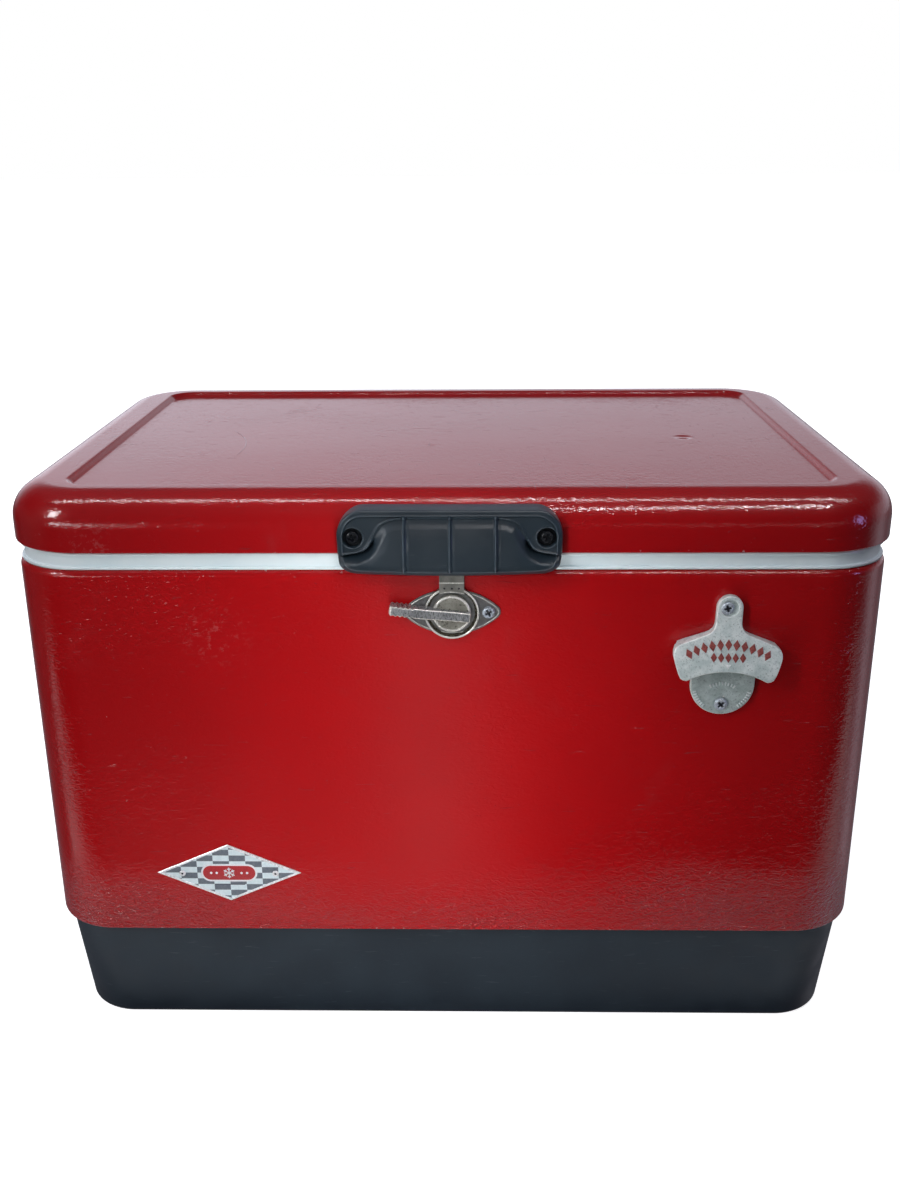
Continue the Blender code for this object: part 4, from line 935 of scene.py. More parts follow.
def make_grip():
    """The grip, from rings that follow its outline inwards, on its face and on its back."""
    columns = grip_columns()
    insets = [0.0, 0.12, 0.35, 0.7, 1.1, 1.6, 2.1, 2.6, 2.9, 3.2, 3.5, 3.8, 4.2, 4.7]
    insets += spread(insets[-1], GRIP_ROUND, 20)[1:]
    flat = GRIP_HALF.y - GRIP_ROUND
    heights = [GRIP_MIDDLE + v for v in spread(-flat, flat, 12)]
    bm = bmesh.new()
    outlines = []
    for front in (True, False):
        rings = []
        for inset in insets:
            ring = grip_ring(inset, columns)
            rings.append([bm.verts.new(grip_point(u, v, inset, front)) for u, v in ring])
        skin(bm, rings)
        middle = [[bm.verts.new(grip_point(u, v, GRIP_ROUND, front)) for u in columns] for v in heights]
        skin(bm, middle, closed=False)
        outlines.append(rings[0])
    skin(bm, outlines)
    bmesh.ops.remove_doubles(bm, verts=bm.verts, dist=0.01 * MM)
    bmesh.ops.dissolve_degenerate(bm, edges=bm.edges, dist=0.005 * MM)
    mesh = to_mesh(bm, "grip_moulding")
    piece = make_piece("grip_moulding", mesh, "lid", GRIP_BLACK, ("lid_grip",), 60)

    def in_well(face):
        at = face.center / MM
        away = math.hypot(abs(at.x - GRIP_X / MM) - SCREW_AT[0], at.z - SCREW_AT[1])
        return away < WELL_RADIUS + 0.15 and at.y < 6 - PAD

    # The wells are painted near-black: painted shade.
    paint_faces(piece, WELL_SHADE, in_well)


# ---------------------------------------------------------------- latch


STRIKE_SAG = 1.2 * MM
STRIKE_STEP = 0.7 * MM
BEND_LOW, BEND_HIGH = 355.2 * MM, 356.2 * MM
DIMPLES = (-4.8 * MM, 0.2 * MM, 4.8 * MM)
DIMPLE_Z = 351.6 * MM
DIMPLE_RADIUS, DIMPLE_DEPTH = 0.95 * MM, 0.55 * MM


def make_strike():
    """The tongue: it steps in towards the rotor, has three dimples, and ends in a shallow arch."""
    low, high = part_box("strike_tongue")
    half = (high.x - low.x) / 2
    radius = (half**2 + STRIKE_SAG**2) / (2 * STRIKE_SAG)

    def level(u, t):
        foot = low.z + STRIKE_SAG - radius + math.sqrt(radius**2 - u**2)
        return foot + t * (high.z - foot)

    def face(u, t):
        z = level(u, t)
        y = low.y + STRIKE_STEP * (1 - blend_step(z, BEND_LOW, BEND_HIGH))
        y += 0.25 * MM * ridge((half - abs(u)) / MM, 0.8)
        for x in DIMPLES:
            y += DIMPLE_DEPTH * (1 - smooth_step(math.hypot(u - x, z - DIMPLE_Z) / DIMPLE_RADIUS))
        return Vector((LATCH.x + u, y, z))

    def back(u, t):
        z = level(u, t)
        y = high.y - 0.1 * MM - 0.3 * STRIKE_STEP * blend_step(z, BEND_LOW, BEND_HIGH)
        return Vector((LATCH.x + u, y, z))

    us = [half * math.sin(angle) for angle in turns(-90, 90, 60)]
    vs = spread(0, 0.30, 60) + spread(0.31, 1, 30)
    mesh = grid_body("strike_stamping", us, vs, face, back)
    piece = make_piece("strike_stamping", mesh, "lid", STRIKE_STEEL, ("strike_tongue",), 40)

    def on_bend(face):
        at = face.center
        bent = BEND_LOW - 0.1 * MM < at.z < BEND_HIGH - 0.2 * MM
        return at.y < low.y + 1.2 * MM and (bent or at.z - level(at.x - LATCH.x, 0) < 0.5 * MM)

    def in_dimple(face):
        u, z = face.center.x - LATCH.x, face.center.z
        return min(math.hypot(u - x, z - DIMPLE_Z) for x in DIMPLES) < 0.7 * MM

    # The bend and the lower edge get painted highlight, the dimples painted shade.
    paint_faces(piece, HIGHLIGHT_STEEL, on_bend)
    paint_faces(piece, RECESS_SHADE, in_dimple)


def lens_outline(half, tip):
    """A lens: two shallow arcs that meet in rounded tips, centred on the latch."""
    steps = 40
    reach = half.x - tip
    radius = (reach**2 + (half.y - tip) ** 2) / (2 * (half.y - tip)) + tip
    drop = radius - half.y
    wide = math.degrees(math.asin(reach / (radius - tip)))
    x, z = LATCH.x, LATCH.z
    points = arc_points((x, z - drop), radius, 90 - wide, 90 + wide, steps)
    points += arc_points((x - reach, z), tip, 90 + wide, 270 - wide, 12)[1:-1]
    points += arc_points((x, z + drop), radius, 270 - wide, 270 + wide, steps)
    return points + arc_points((x + reach, z), tip, 270 + wide, 450 - wide, 12)[1:-1]


def bead_mesh(outline, y, radius):
    """A thin round bead that follows a closed outline of (x, z) points at a Y value."""
    points = [Vector((x, y, z)) for x, z in outline]
    out = Vector((0, 1, 0))
    rings = []
    for i, at in enumerate(points):
        along = (points[(i + 1) % len(points)] - points[i - 1]).normalized()
        side = along.cross(out)
        rings.append([at + radius * (side * math.cos(a) + out * math.sin(a)) for a in all_round(8)])
    bm = bmesh.new()
    made = [[bm.verts.new(point) for point in ring] for ring in rings]
    skin(bm, made + made[:1])
    return to_mesh(bm, "bead")


def paint_highlight_ring(piece, least, most, front):
    """Paints the faces between two radii round the latch, in mm, that lie in front of a Y value, with pale
    steel as a painted highlight.
    """
    def on_highlight_ring(face):
        at = face.center
        return least < math.hypot(at.x - LATCH.x, at.z - LATCH.z) / MM < most and at.y < front

    paint_faces(piece, HIGHLIGHT_STEEL, on_highlight_ring)


def make_latch():
    """The lens-shaped plate with its bead and cup, and the disc that turns in the cup."""
    low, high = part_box("latch_plate")
    half = Vector(((high.x - low.x) / 2, 15.8 * MM))
    back, front = high.y, high.y - 1.5 * MM
    mesh = plate_mesh(lens_outline(half, 5 * MM), back, front, "latch_escutcheon", 0.45 * MM)
    make_piece("latch_escutcheon", mesh, "body", PLATE_STEEL, ("latch_plate",), 25)
    # The bead is pale steel: painted highlight.
    mesh = bead_mesh(lens_outline(half - FLAT * 1.3 * MM, 4 * MM), front - 0.05 * MM, 0.35 * MM)
    make_piece("latch_escutcheon_bead", mesh, "body", HIGHLIGHT_STEEL, (), 60)

    lip = (back - low.y) / MM
    cup = [(3.4, 0.0), (18.0, 0.0), (18.2, 0.3), (18.2, lip - 0.5), (17.9, lip - 0.12), (17.5, lip)]
    cup += [(17.1, lip - 0.12), (16.8, lip - 0.5), (16.2, 2.6), (15.3, 1.5), (14.4, 1.1), (3.4, 1.1)]
    mesh = turned_mesh("latch_cup", in_mm(cup), 120)
    aim(mesh, (LATCH.x, back, LATCH.z), (0, -1, 0))
    piece = make_piece("latch_cup", mesh, "body", CUP_STEEL, (), 40)
    # The cup's rim: painted highlight.
    paint_highlight_ring(piece, 16.9, 100.0, low.y + 0.6 * MM)

    rise = 4.6
    tail = rise - (ROTOR_HIGH.y - ROTOR_LOW.y) / MM
    rotor = [(0.0, rise - 0.55), (6.0, rise - 0.6), (10.4, rise - 0.7), (11.0, rise - 0.62)]
    rotor += [(11.3, rise - 0.15), (11.7, rise), (12.2, rise - 0.1), (12.6, rise - 0.5), (12.8, rise - 1.1)]
    rotor += [(12.8, 0.3), (12.5, 0.0), (3.0, 0.0), (3.0, tail), (0.0, tail)]
    mesh = turned_mesh("latch_turn_disc", in_mm(rotor), 120)
    aim(mesh, (LATCH.x, ROTOR_LOW.y + rise * MM, LATCH.z), (0, -1, 0))
    piece = make_piece("latch_turn_disc", mesh, "latch", ROTOR_STEEL, ("latch_rotor",), 35)
    # The disc's rim: painted highlight.
    paint_highlight_ring(piece, 11.1, 12.75, ROTOR_LOW.y + 1.2 * MM)


LEVER_END, LEVER_TIP = 39.2, 2.3
LEVER_TILT = math.radians(6.5)


def lever_station(s):
    """Back, front and half height of the lever, in mm, at s along it from the rotor's axis."""
    back = -204.6 + 1.9 * blend_step(-s, 13.2, 14.6) + 2.1 * blend_step(-s, 26.5, 28.6)
    front = -209.0 - 2.1 * blend_step(-s, -4.0, 24.0)
    half = 3.3 + 0.2 * blend_step(-s, 0.0, 30.0)
    # Grooves across the finger end, then its rounded tip.
    if -40.0 < s < -24.5:
        half -= 0.75 * (0.5 - 0.5 * math.cos(math.tau * (s + 24.5) / 3.1)) * blend_step(-s, 24.5, 26.0)
    end = max(0.0, (-s - LEVER_END) / LEVER_TIP)
    if end > 0:
        pull = 1 - math.sqrt(max(0.0, 1 - end**2))
        back -= 2.2 * pull
        front += 2.2 * pull
        half -= 1.8 * pull
    return back, front, half


def make_lever():
    """The lever across the rotor, lofted from rounded sections, with grooves across its finger end."""
    stations = [12.2, 12.1, 11.8] + spread(11.2, -24.0, 60) + spread(-24.3, -LEVER_END, 70)
    stations += [-LEVER_END - LEVER_TIP * math.sin(angle) for angle in turns(6, 88, 14)]
    turn = Matrix.Translation((LATCH.x, 0, LATCH.z)) @ Matrix.Rotation(LEVER_TILT, 4, "Y")
    rings = []
    for number, s in enumerate(stations):
        back, front, half = lever_station(s)
        if number < 3:
            tuck = (0.5, 0.2, 0.05)[number]
            back, front, half = back - tuck * 0.4, front + tuck, half - tuck
        rounding = min(1.0, half * 0.5)
        ring = []
        middle, depth = (back + front) / 2, abs(front - back) / 2
        for quarter, (sy, sz) in enumerate(((-1, 1), (1, 1), (1, -1), (-1, -1))):
            for step in range(6):
                angle = math.radians(180 - 90 * quarter - 18 * step)
                y = middle + sy * (depth - rounding) + rounding * math.cos(angle)
                z = sz * (half - rounding) + rounding * math.sin(angle)
                ring.append(turn @ (Vector((s, y, z)) * MM))
        rings.append(ring)
    mesh = to_mesh(loft(rings, True, True), "latch_lever")
    piece = make_piece("latch_finger_lever", mesh, "latch", LEVER_STEEL, ("latch_lever",), 35)
    # Faces turning from the front to the sides: painted highlight.
    paint_faces(piece, HIGHLIGHT_STEEL, lambda face: -0.95 < face.normal.y < -0.25)


# ---------------------------------------------------------------- bottle opener

OPENER_X, OPENER_Z = 183.6 * MM, 302 * MM
OPENER_LEAN = math.radians(1.5)
OPENER_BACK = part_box("bottle_opener")[1].y
# Side view of the face, as (distance out, height) in mm.
OPENER_SIDE = [(5.0, 44.5), (5.0, 36.0), (5.1, 28.0), (5.9, 22.5), (7.3, 18.0), (10.2, 10.0)]
OPENER_SIDE += [(13.4, 1.0), (15.3, -7.0), (15.6, -20.0)]
OPENER_TAB, OPENER_FOOT = 8.6, 21.6
OPENER_TOP, OPENER_BOTTOM = 43.8, -41.8
UPPER_SCREW, LOWER_SCREW = 35.2, -34
PLATE = 3.2


def opener_out(z):
    """How far the opener's face stands out at height z, in mm, from a smooth curve through its side view."""
    points = OPENER_SIDE
    for number in range(len(points) - 1):
        (out_a, high), (out_b, low) = points[number], points[number + 1]
        if low <= z <= high:
            before = points[max(0, number - 1)]
            after = points[min(len(points) - 1, number + 2)]
            # A cubic between the two points, with the slopes that their neighbours give.
            t = (high - z) / (high - low)
            slope_a = (out_b - before[0]) / max(0.1, before[1] - low) * (high - low)
            slope_b = (after[0] - out_a) / max(0.1, high - after[1]) * (high - low)
            a = 2 * t**3 - 3 * t**2 + 1
            b = t**3 - 2 * t**2 + t
            c = -2 * t**3 + 3 * t**2
            d = t**3 - t**2
            return a * out_a + b * slope_a + c * out_b + d * slope_b
    return points[0][0] if z > points[0][1] else points[-1][0]


def lean_matrix():
    """The opener hangs a little crooked, turned about its lower screw."""
    pivot = Vector((OPENER_X, 0, OPENER_Z + LOWER_SCREW * MM))
    return Matrix.Translation(pivot) @ Matrix.Rotation(OPENER_LEAN, 4, "Y") @ Matrix.Translation(-pivot)


def opener_foot_outline():
    """Front view of the plate that lies on the belt: a round tab above a round foot."""
    points = arc_points((0, OPENER_TOP - OPENER_TAB), OPENER_TAB, 0, 180, 24)
    points += [(-OPENER_TAB, 14), (-OPENER_FOOT, 0)]
    points += arc_points((0, OPENER_BOTTOM + OPENER_FOOT), OPENER_FOOT, 180, 360, 48)
    return points + [(OPENER_FOOT, 0), (OPENER_TAB, 14)]


def opener_face_outline():
    """Front view of the cast face: the tab, hollow shoulders, drooping wings and an arched mouth."""
    top = arc_points((0, OPENER_TOP - OPENER_TAB), OPENER_TAB, 0, 90, 16)
    right = [(OPENER_TAB, 26), (8.9, 23), (10.0, 20.4), (11.8, 18.6), (14.5, 17.2), (19, 15.6), (24, 13.8)]
    right += [(29, 12.0), (32.6, 10.4), (34.8, 8.6), (35.9, 6.2), (36.1, 3.5), (35.2, 0.2), (33.8, -4.5)]
    right += [(32.3, -8.6), (31.0, -11.2), (29.0, -12.5), (26.6, -12.7)]
    radius, rise = 55, 6
    wide = math.degrees(math.asin(25.5 / radius))
    arch = arc_points((0, -rise - radius), radius, 90 - wide, 90, 20)
    half = top[::-1] + right + arch
    return half + [(-x, z) for x, z in half[-2:0:-1]]


def temporary(mesh):
    obj = add_object(mesh.name, mesh)
    obj.hide_render = True
    return obj


def combine(obj, other, operation):
    modifier = obj.modifiers.new(operation.lower(), "BOOLEAN")
    modifier.operation = operation
    modifier.object = other


def make_opener():
    """One casting: the back plate and the leaning face, joined, remeshed and smoothed like cast metal."""
    foot = plate_mesh(in_mm(opener_foot_outline()), 0, -PLATE * MM, "foot")
    face = plate_mesh(in_mm(opener_face_outline()), -0.6 * MM, -30 * MM, "face")
    outer = [(opener_out(z), z) for z in spread(46, -20, 66)]
    inner = [(12.0, -20), (11.6, -7), (10.8, -3), (9.4, 0.2), (7.6, 4), (5.6, 7), (3, 9.4), (0, 10)]
    outline = [(-out, z) for out, z in [(0, 46)] + outer + inner]
    side = plate_mesh(in_mm(outline), -45 * MM, 45 * MM, "side")
    side.transform(Matrix.Rotation(math.radians(90), 4, "Z"))
    made = [temporary(mesh) for mesh in (foot, face, side)]
    combine(made[1], made[2], "INTERSECT")
    combine(made[0], made[1], "UNION")
    # Seats for the two screw heads, then their holes: radius, height, and where the cut starts.
    for radius, z, near in ((5.7, UPPER_SCREW, -PLATE), (5.3, LOWER_SCREW, -2.6),
                            (2.4, UPPER_SCREW, 2), (2.4, LOWER_SCREW, 2)):
        outline = in_mm(circle_points((0, z), radius, 48))
        made.append(temporary(plate_mesh(outline, near * MM, -12 * MM, "hole")))
        combine(made[0], made[-1], "DIFFERENCE")
    remesh = made[0].modifiers.new("cast", "REMESH")
    remesh.mode = "VOXEL"
    remesh.voxel_size = 0.42 * MM
    smooth = made[0].modifiers.new("smooth", "SMOOTH")
    smooth.factor = 0.5
    smooth.iterations = 5
    mesh = shown_mesh(made[0])
    mesh.transform(lean_matrix() @ Matrix.Translation((OPENER_X, OPENER_BACK, OPENER_Z)))
    for obj in made:
        bpy.data.objects.remove(obj)
    piece = make_piece("opener_casting", mesh, "body", ZINC, ("bottle_opener",), 80)
    step = OPENER_BACK - 4.2 * MM
    paint_faces(piece, ZINC_SHADED, lambda face: face.center.y > step and face.center.z < OPENER_Z - 4 * MM)


def raised_shape(bm, outline, matrix, height):
    """Adds a small raised shape with sloping sides to bm; outline is in mm round its own middle."""
    base = [bm.verts.new(matrix @ Vector((x * MM, 0.35 * MM, z * MM))) for x, z in outline]
    waist = [bm.verts.new(matrix @ Vector((x * MM, -height * 0.6, z * MM))) for x, z in outline]
    top = [bm.verts.new(matrix @ Vector((x * 0.78 * MM, -height, z * 0.78 * MM))) for x, z in outline]
    skin(bm, (base, waist, top))
    bm.faces.new(top)
    bm.faces.new(base[::-1])


def on_opener(x, z, turn=0.0):
    """Placing matrix of a mark on the opener's face at (x, z), in mm, turned in the plane of the face."""
    slope = math.atan(opener_out(z - 0.5) - opener_out(z + 0.5))
    at = Vector((OPENER_X + x * MM, OPENER_BACK - opener_out(z) * MM, OPENER_Z + z * MM))
    tilt = Matrix.Rotation(-slope, 4, "X")
    return lean_matrix() @ Matrix.Translation(at) @ tilt @ Matrix.Rotation(turn, 4, "Y")


def make_opener_marks():
    """Raised lozenges along an arc, with a pointer above the mouth, and fine ticks on the foot."""
    lozenge = [(0, 3.8), (2.3, 0), (0, -3.8), (-2.3, 0)]
    small = [(0, 3.3), (2.1, 0), (0, -3.3), (-2.1, 0)]
    reds = bmesh.new()
    for angle in turns(-27, 27, 10):
        x, z = 57 * math.sin(angle), -45.5 + 57 * math.cos(angle)
        raised_shape(reds, lozenge, on_opener(x, z, angle), 0.6 * MM)
    for x in (-9.6, -4.8, 0.0, 4.8, 9.6):
        raised_shape(reds, small, on_opener(x, 3.4), 0.6 * MM)
    mesh = to_mesh(reds, "opener_lozenges")
    make_piece("opener_lozenges", mesh, "body", MARK_RED, (), 20)
    ticks = bmesh.new()
    raised_shape(ticks, [(-1.9, 1.5), (1.9, 1.5), (0, -1.9)], on_opener(0, -2.4), 0.5 * MM)
    dash = [(-0.5, 1.2), (0.5, 1.2), (0.5, -1.2), (-0.5, -1.2)]
    outer = [side * angle for angle in turns(38, 74, 6) for side in (-1, 1)]
    rows = (
        (OPENER_BOTTOM + OPENER_FOOT, OPENER_FOOT - 2.4, 0.8, [math.pi + angle for angle in outer]),
        (LOWER_SCREW, 15.0, 0.7, turns(-32, 32, 8)),
    )
    for z, radius, height, angles in rows:
        seat = Matrix.Translation((OPENER_X, OPENER_BACK - PLATE * MM, OPENER_Z + z * MM))
        for angle in angles:
            around = Matrix.Rotation(angle, 4, "Y") @ Matrix.Translation((0, 0, radius * MM))
            raised_shape(ticks, dash, lean_matrix() @ seat @ around, height * MM)
    mesh = to_mesh(ticks, "opener_ticks")
    # The ticks are paler zinc: painted highlight.
    make_piece("opener_ticks", mesh, "body", ZINC_HIGHLIGHT, (), 20)


# ---------------------------------------------------------------- badge


def diamond(half_x, half_z, inset, y):
    """Corners of the badge's outline moved inwards by inset."""
    grow = inset * math.hypot(half_x, half_z) / (half_x * half_z)
    reach = Vector((half_x, half_z)) * (1 - grow)
    corners = [(reach.x, 0), (0, reach.y), (-reach.x, 0), (0, -reach.y)]
    return [Vector((BADGE.x + x, y, BADGE.z + z)) for x, z in corners]


def stadium(half_x, half_z, lift):
    """Outline of a bar with round ends, lift above the badge's middle."""
    points = arc_points((half_x - half_z, lift), half_z, -90, 90, 20)
    points += arc_points((-half_x + half_z, lift), half_z, 90, 270, 20)
    return [(BADGE.x + x, BADGE.z + z) for x, z in points]


def snowflake(size, width):
    """Outlines of the six arms, with short side branches."""
    shapes = []
    for arm in range(6):
        turn = Matrix.Rotation(math.radians(60 * arm + 30), 2)
        bars = [((0, 0), (size, 0))]
        bars += [((size * 0.55, 0), (size * 0.80, side * size * 0.28)) for side in (-1, 1)]
        for start, end in bars:
            a, b = turn @ Vector(start), turn @ Vector(end)
            side = (b - a).normalized().orthogonal() * width / 2
            corners = [a + side, b + side, b - side, a - side]
            shapes.append([(BADGE.x + c.x, BADGE.z + c.y) for c in corners])
    return shapes


def make_badge():
    """A diamond-shaped stamping with a rolled rim, and raised marks on its chequered field."""
    low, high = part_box("badge_plate")
    half_x, half_z = (high.x - low.x) / 2, (high.z - low.z) / 2
    back, front = high.y, low.y
    profile = [(0, back), (0, front + 0.35 * MM), (0.3 * MM, front + 0.08 * MM), (0.6 * MM, front)]
    profile += [(1.35 * MM, front), (1.6 * MM, front + 0.1 * MM), (1.75 * MM, front + 0.42 * MM)]
    bm = loft([diamond(half_x, half_z, inset, y) for inset, y in profile], True, True)
    mesh = to_mesh(bm, "badge_stamping")
    piece = make_piece("badge_stamping", mesh, "body", RIM_SILVER, ("badge_plate",), 25)
    piece.data.materials.append(CHEQUER)
    field = max(piece.data.polygons, key=lambda face: face.area if face.center.y < back - 0.2 * MM else 0)
    field.material_index = 1
    face = front + 0.42 * MM
    layers = (
        ("badge_emblem_border", 20.4, 7.2, 0.0, 0.22, EMBLEM_WHITE),
        ("badge_emblem_field", 19.0, 5.8, 0.0, 0.34, EMBLEM_RED),
        ("badge_emblem_rule", 11.0, 0.35, -9.6, 0.2, EMBLEM_DARK),
    )
    for name, half_length, half_height, lift, rise, surface in layers:
        outline = stadium(half_length * MM, half_height * MM, lift * MM)
        mesh = plate_mesh(outline, face + 0.02 * MM, face - rise * MM, name, 0.06 * MM)
        make_piece(name, mesh, "body", surface, (), 30)
    outlines = snowflake(4.3 * MM, 0.75 * MM)
    for offset in (-9.0, -13.0, 9.0, 13.0):
        outlines.append(circle_points((BADGE.x + offset * MM, BADGE.z), 0.9 * MM, 24))
    marks = [plate_mesh(outline, face - 0.3 * MM, face - 0.44 * MM, "mark") for outline in outlines]
    mesh = joined("badge_snowflake", marks)
    make_piece("badge_snowflake", mesh, "body", EMBLEM_WHITE, (), 30)


# ---------------------------------------------------------------- bails, hinges, drain

BAIL_OUT = BELT_HALF.x + 5.8 * MM
BAIL_ROD = 3 * MM
BAIL_RIBS = 22


def bail_route(side):
    """Centre line of the bent rod, from one bracket round the grip to the other."""
    pivot_x = side * BAIL_OUT
    grip_x = side * (BELT_HALF.x + 10.2 * MM)
    bend = 9 * MM
    top, low = 302 * MM, 240 * MM
    corners = [(pivot_x, -60 * MM, top), (pivot_x, -86 * MM, top), (grip_x, -86 * MM, low)]
    corners += [(x, -y, z) for x, y, z in reversed(corners)]
    corners = [Vector(corner) for corner in corners]
    route = [corners[0]]
    for before, at, after in zip(corners, corners[1:], corners[2:]):
        start = at + (before - at).normalized() * bend
        end = at + (after - at).normalized() * bend
        for t in spread(0, 1, 12):
            route.append((1 - t) ** 2 * start + 2 * t * (1 - t) * at + t**2 * end)
    return route + [corners[-1]]


def swept_rod(name, route, radius):
    """A round rod along a route, its ends closed with small chamfers."""
    rings = []
    across = Vector((1, 0, 0))
    for number, at in enumerate(route):
        before = route[max(0, number - 1)]
        after = route[min(len(route) - 1, number + 1)]
        along = (after - before).normalized()
        up = (across - along * across.dot(along)).normalized()
        side = along.cross(up)
        size = radius * (0.86 if number in (0, len(route) - 1) else 1.0)
        rings.append([at + size * (up * math.cos(a) + side * math.sin(a)) for a in all_round(24)])
    return to_mesh(loft(rings, True, True), name)


def make_bail(name, side):
    """The bent rod, its ribbed rubber grip and the two brackets it hangs in."""
    route = bail_route(side)
    first = route[0].lerp(route[1], 0.03)
    last = route[-1].lerp(route[-2], 0.03)
    route = [route[0], first] + route[1:-1] + [last, route[-1]]
    mesh = swept_rod(f"{name}_bail_rod", route, BAIL_ROD)
    make_piece(f"{name}_bail_rod", mesh, f"{name}_handle", ROD_STEEL, (f"{name}_bail",), 50)
    low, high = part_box(f"{name}_bail_grip")
    length, radius = high.y - low.y, (high.z - low.z) / 2
    bore, edge = BAIL_ROD + 0.3 * MM, 2 * MM
    profile = [(bore, 0.0), (radius - 3.2 * MM, 0.0)]
    rolls = (0.4, 0.8, 1.2, 1.57)
    profile += [(radius - edge * (1 - math.sin(a)), edge * (1 - math.cos(a))) for a in rolls]
    for step, height in enumerate(spread(6 * MM, length - 6 * MM, BAIL_RIBS * 8)):
        wave = 0.5 - 0.5 * math.cos(math.tau * step / 8)
        profile.append((radius - 0.9 * MM * wave, height))
    profile += [(radius - edge * (1 - math.cos(a)), length - edge * (1 - math.sin(a))) for a in rolls]
    profile += [(radius - 3.2 * MM, length), (bore, length)]
    mesh = turned_mesh(f"{name}_hand_grip", profile, 48)
    aim(mesh, ((low.x + high.x) / 2, low.y, (low.z + high.z) / 2), (0, 1, 0))
    node = f"{name}_bail_grip"
    make_piece(f"{name}_hand_grip", mesh, f"{name}_handle", RUBBER, (node,), 40)
    for place in ("front", "rear"):
        make_bracket(f"{name}_{place}_bracket", side)


def make_bracket(node, side):
    """A pressed clip: a rounded plate with a rolled loop round the rod."""
    low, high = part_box(node)
    y, z = (low.y + high.y) / 2, (low.z + high.z) / 2
    half_y, half_z = (high.y - low.y) / 2, (high.z - low.z) / 2
    wall = low.x if side > 0 else high.x
    outline = []
    for sx, sz, start in ((1, 1, 0), (-1, 1, 90), (-1, -1, 180), (1, -1, 270)):
        outline += arc_points((sx * (half_y - 5 * MM), sz * (half_z - 5 * MM)), 5 * MM, start, start + 90, 8)
    plate = plate_mesh(outline, 0, -1.5 * MM, "plate", 0.4 * MM)
    turn = Matrix.Rotation(math.radians(90 * side), 4, "Z")
    plate.transform(Matrix.Translation((wall, y, z)) @ turn)
    rolled = [(3.3, 0), (4.6, 0), (4.9, 0.3), (4.9, 14.7), (4.6, 15), (3.3, 15)]
    loop = turned_mesh("loop", in_mm(rolled), 40)
    aim(loop, (side * BAIL_OUT, y - 7.5 * MM, z), (0, 1, 0))
    make_piece(f"{node}_pressing", joined(node, (plate, loop)), "body", STEEL, (node,), 30)


def make_drain():
    """The drain's flanged tube and its pull-off cap with finger ribs."""
    low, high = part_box("drain_tube")
    end = (high.x - low.x) / MM
    flange = end - 9
    tube = [(6.5, 0), (8.7, 0), (9.0, 0.3), (9.0, flange), (12.1, flange), (12.4, flange + 0.3)]
    tube += [(12.4, flange + 2.1), (12.0, flange + 2.5), (9.3, flange + 2.5), (9.0, flange + 2.8)]
    tube += [(9.0, end - 0.4), (8.6, end), (6.8, end), (6.5, end - 0.3)]
    mesh = turned_mesh("drain_spigot", in_mm(tube), 72)
    aim(mesh, (low.x, TUBE.y, TUBE.z), (1, 0, 0))
    make_piece("drain_spigot", mesh, "body", BLACK, ("drain_tube",), 35)
    low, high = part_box("drain_cap")
    radius, top = (high.z - low.z) / 2 / MM, 12.4
    start = top - (high.x - low.x) / MM
    cap = [(0, start), (5.6, start), (6.2, start + 0.6), (6.2, 9.3), (9.3, 9.3), (9.3, 2.8)]
    cap += [(radius - 0.4, 2.8), (radius, 3.2), (radius, 11.2), (radius - 0.4, 12.0), (radius - 1.1, top)]
    cap += [(7.6, top), (7.0, top - 0.7), (0, top - 0.7)]

    def ribbed(here, angle):
        if here < (radius - 0.6) * MM:
            return here
        return here - 0.45 * MM * (0.5 + 0.5 * math.cos(24 * angle))

    mesh = turned_mesh("drain_stopper", in_mm(cap), 144, ribbed)
    aim(mesh, (high.x - top * MM, TUBE.y, TUBE.z), (1, 0, 0))
    make_piece("drain_stopper", mesh, "drain_plug", BLACK, ("drain_cap",), 35)


def dress_cad_nodes():
    """Materials for the CAD pieces that keep their own shape, and softened edges for the hinges."""
    for name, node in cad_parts.items():
        if node.hide_render:
            continue
        surface = FOAM if name.endswith("foam") else STEEL
        node.data.materials.clear()
        node.data.materials.append(surface)
        if "hinge" in name:
            soften(node, 0.35 * MM)


# ---------------------------------------------------------------- stage, lights and camera

GLOSSY_SKY = 0.89
DIFFUSE_SKY = 0.70
CAMERA_AT = (0.017, -0.968, 0.6185)

# Name, place, the point it is aimed at, size and power.
DIFFUSE_LIGHTS = (
    ("front_key", (-0.02, FRONT - 0.19, 0.38), (-0.02, FRONT, 0.38), (0.05, 0.80), 0.73),
    ("left_key", (-0.85, -1.05, 1.05), (-0.05, -0.2, 0.3), (0.14, 0.14), 2.9),
    ("left_fill", (-1.4, -0.35, 0.30), (-0.29, -0.15, 0.25), (0.4, 0.6), 2.6),
    ("floor_bounce", (-0.15, -0.42, 0.004), (-0.15, -0.42, 1.0), (0.40, 0.20), 0.58),
    ("rear_left", (-1.4, 1.6, 0.30), (-0.2, 0.1, 0.25), (0.8, 0.5), 9.0),
    ("rear_right", (1.4, 1.6, 0.30), (0.2, 0.1, 0.25), (0.8, 0.5), 9.0),
)
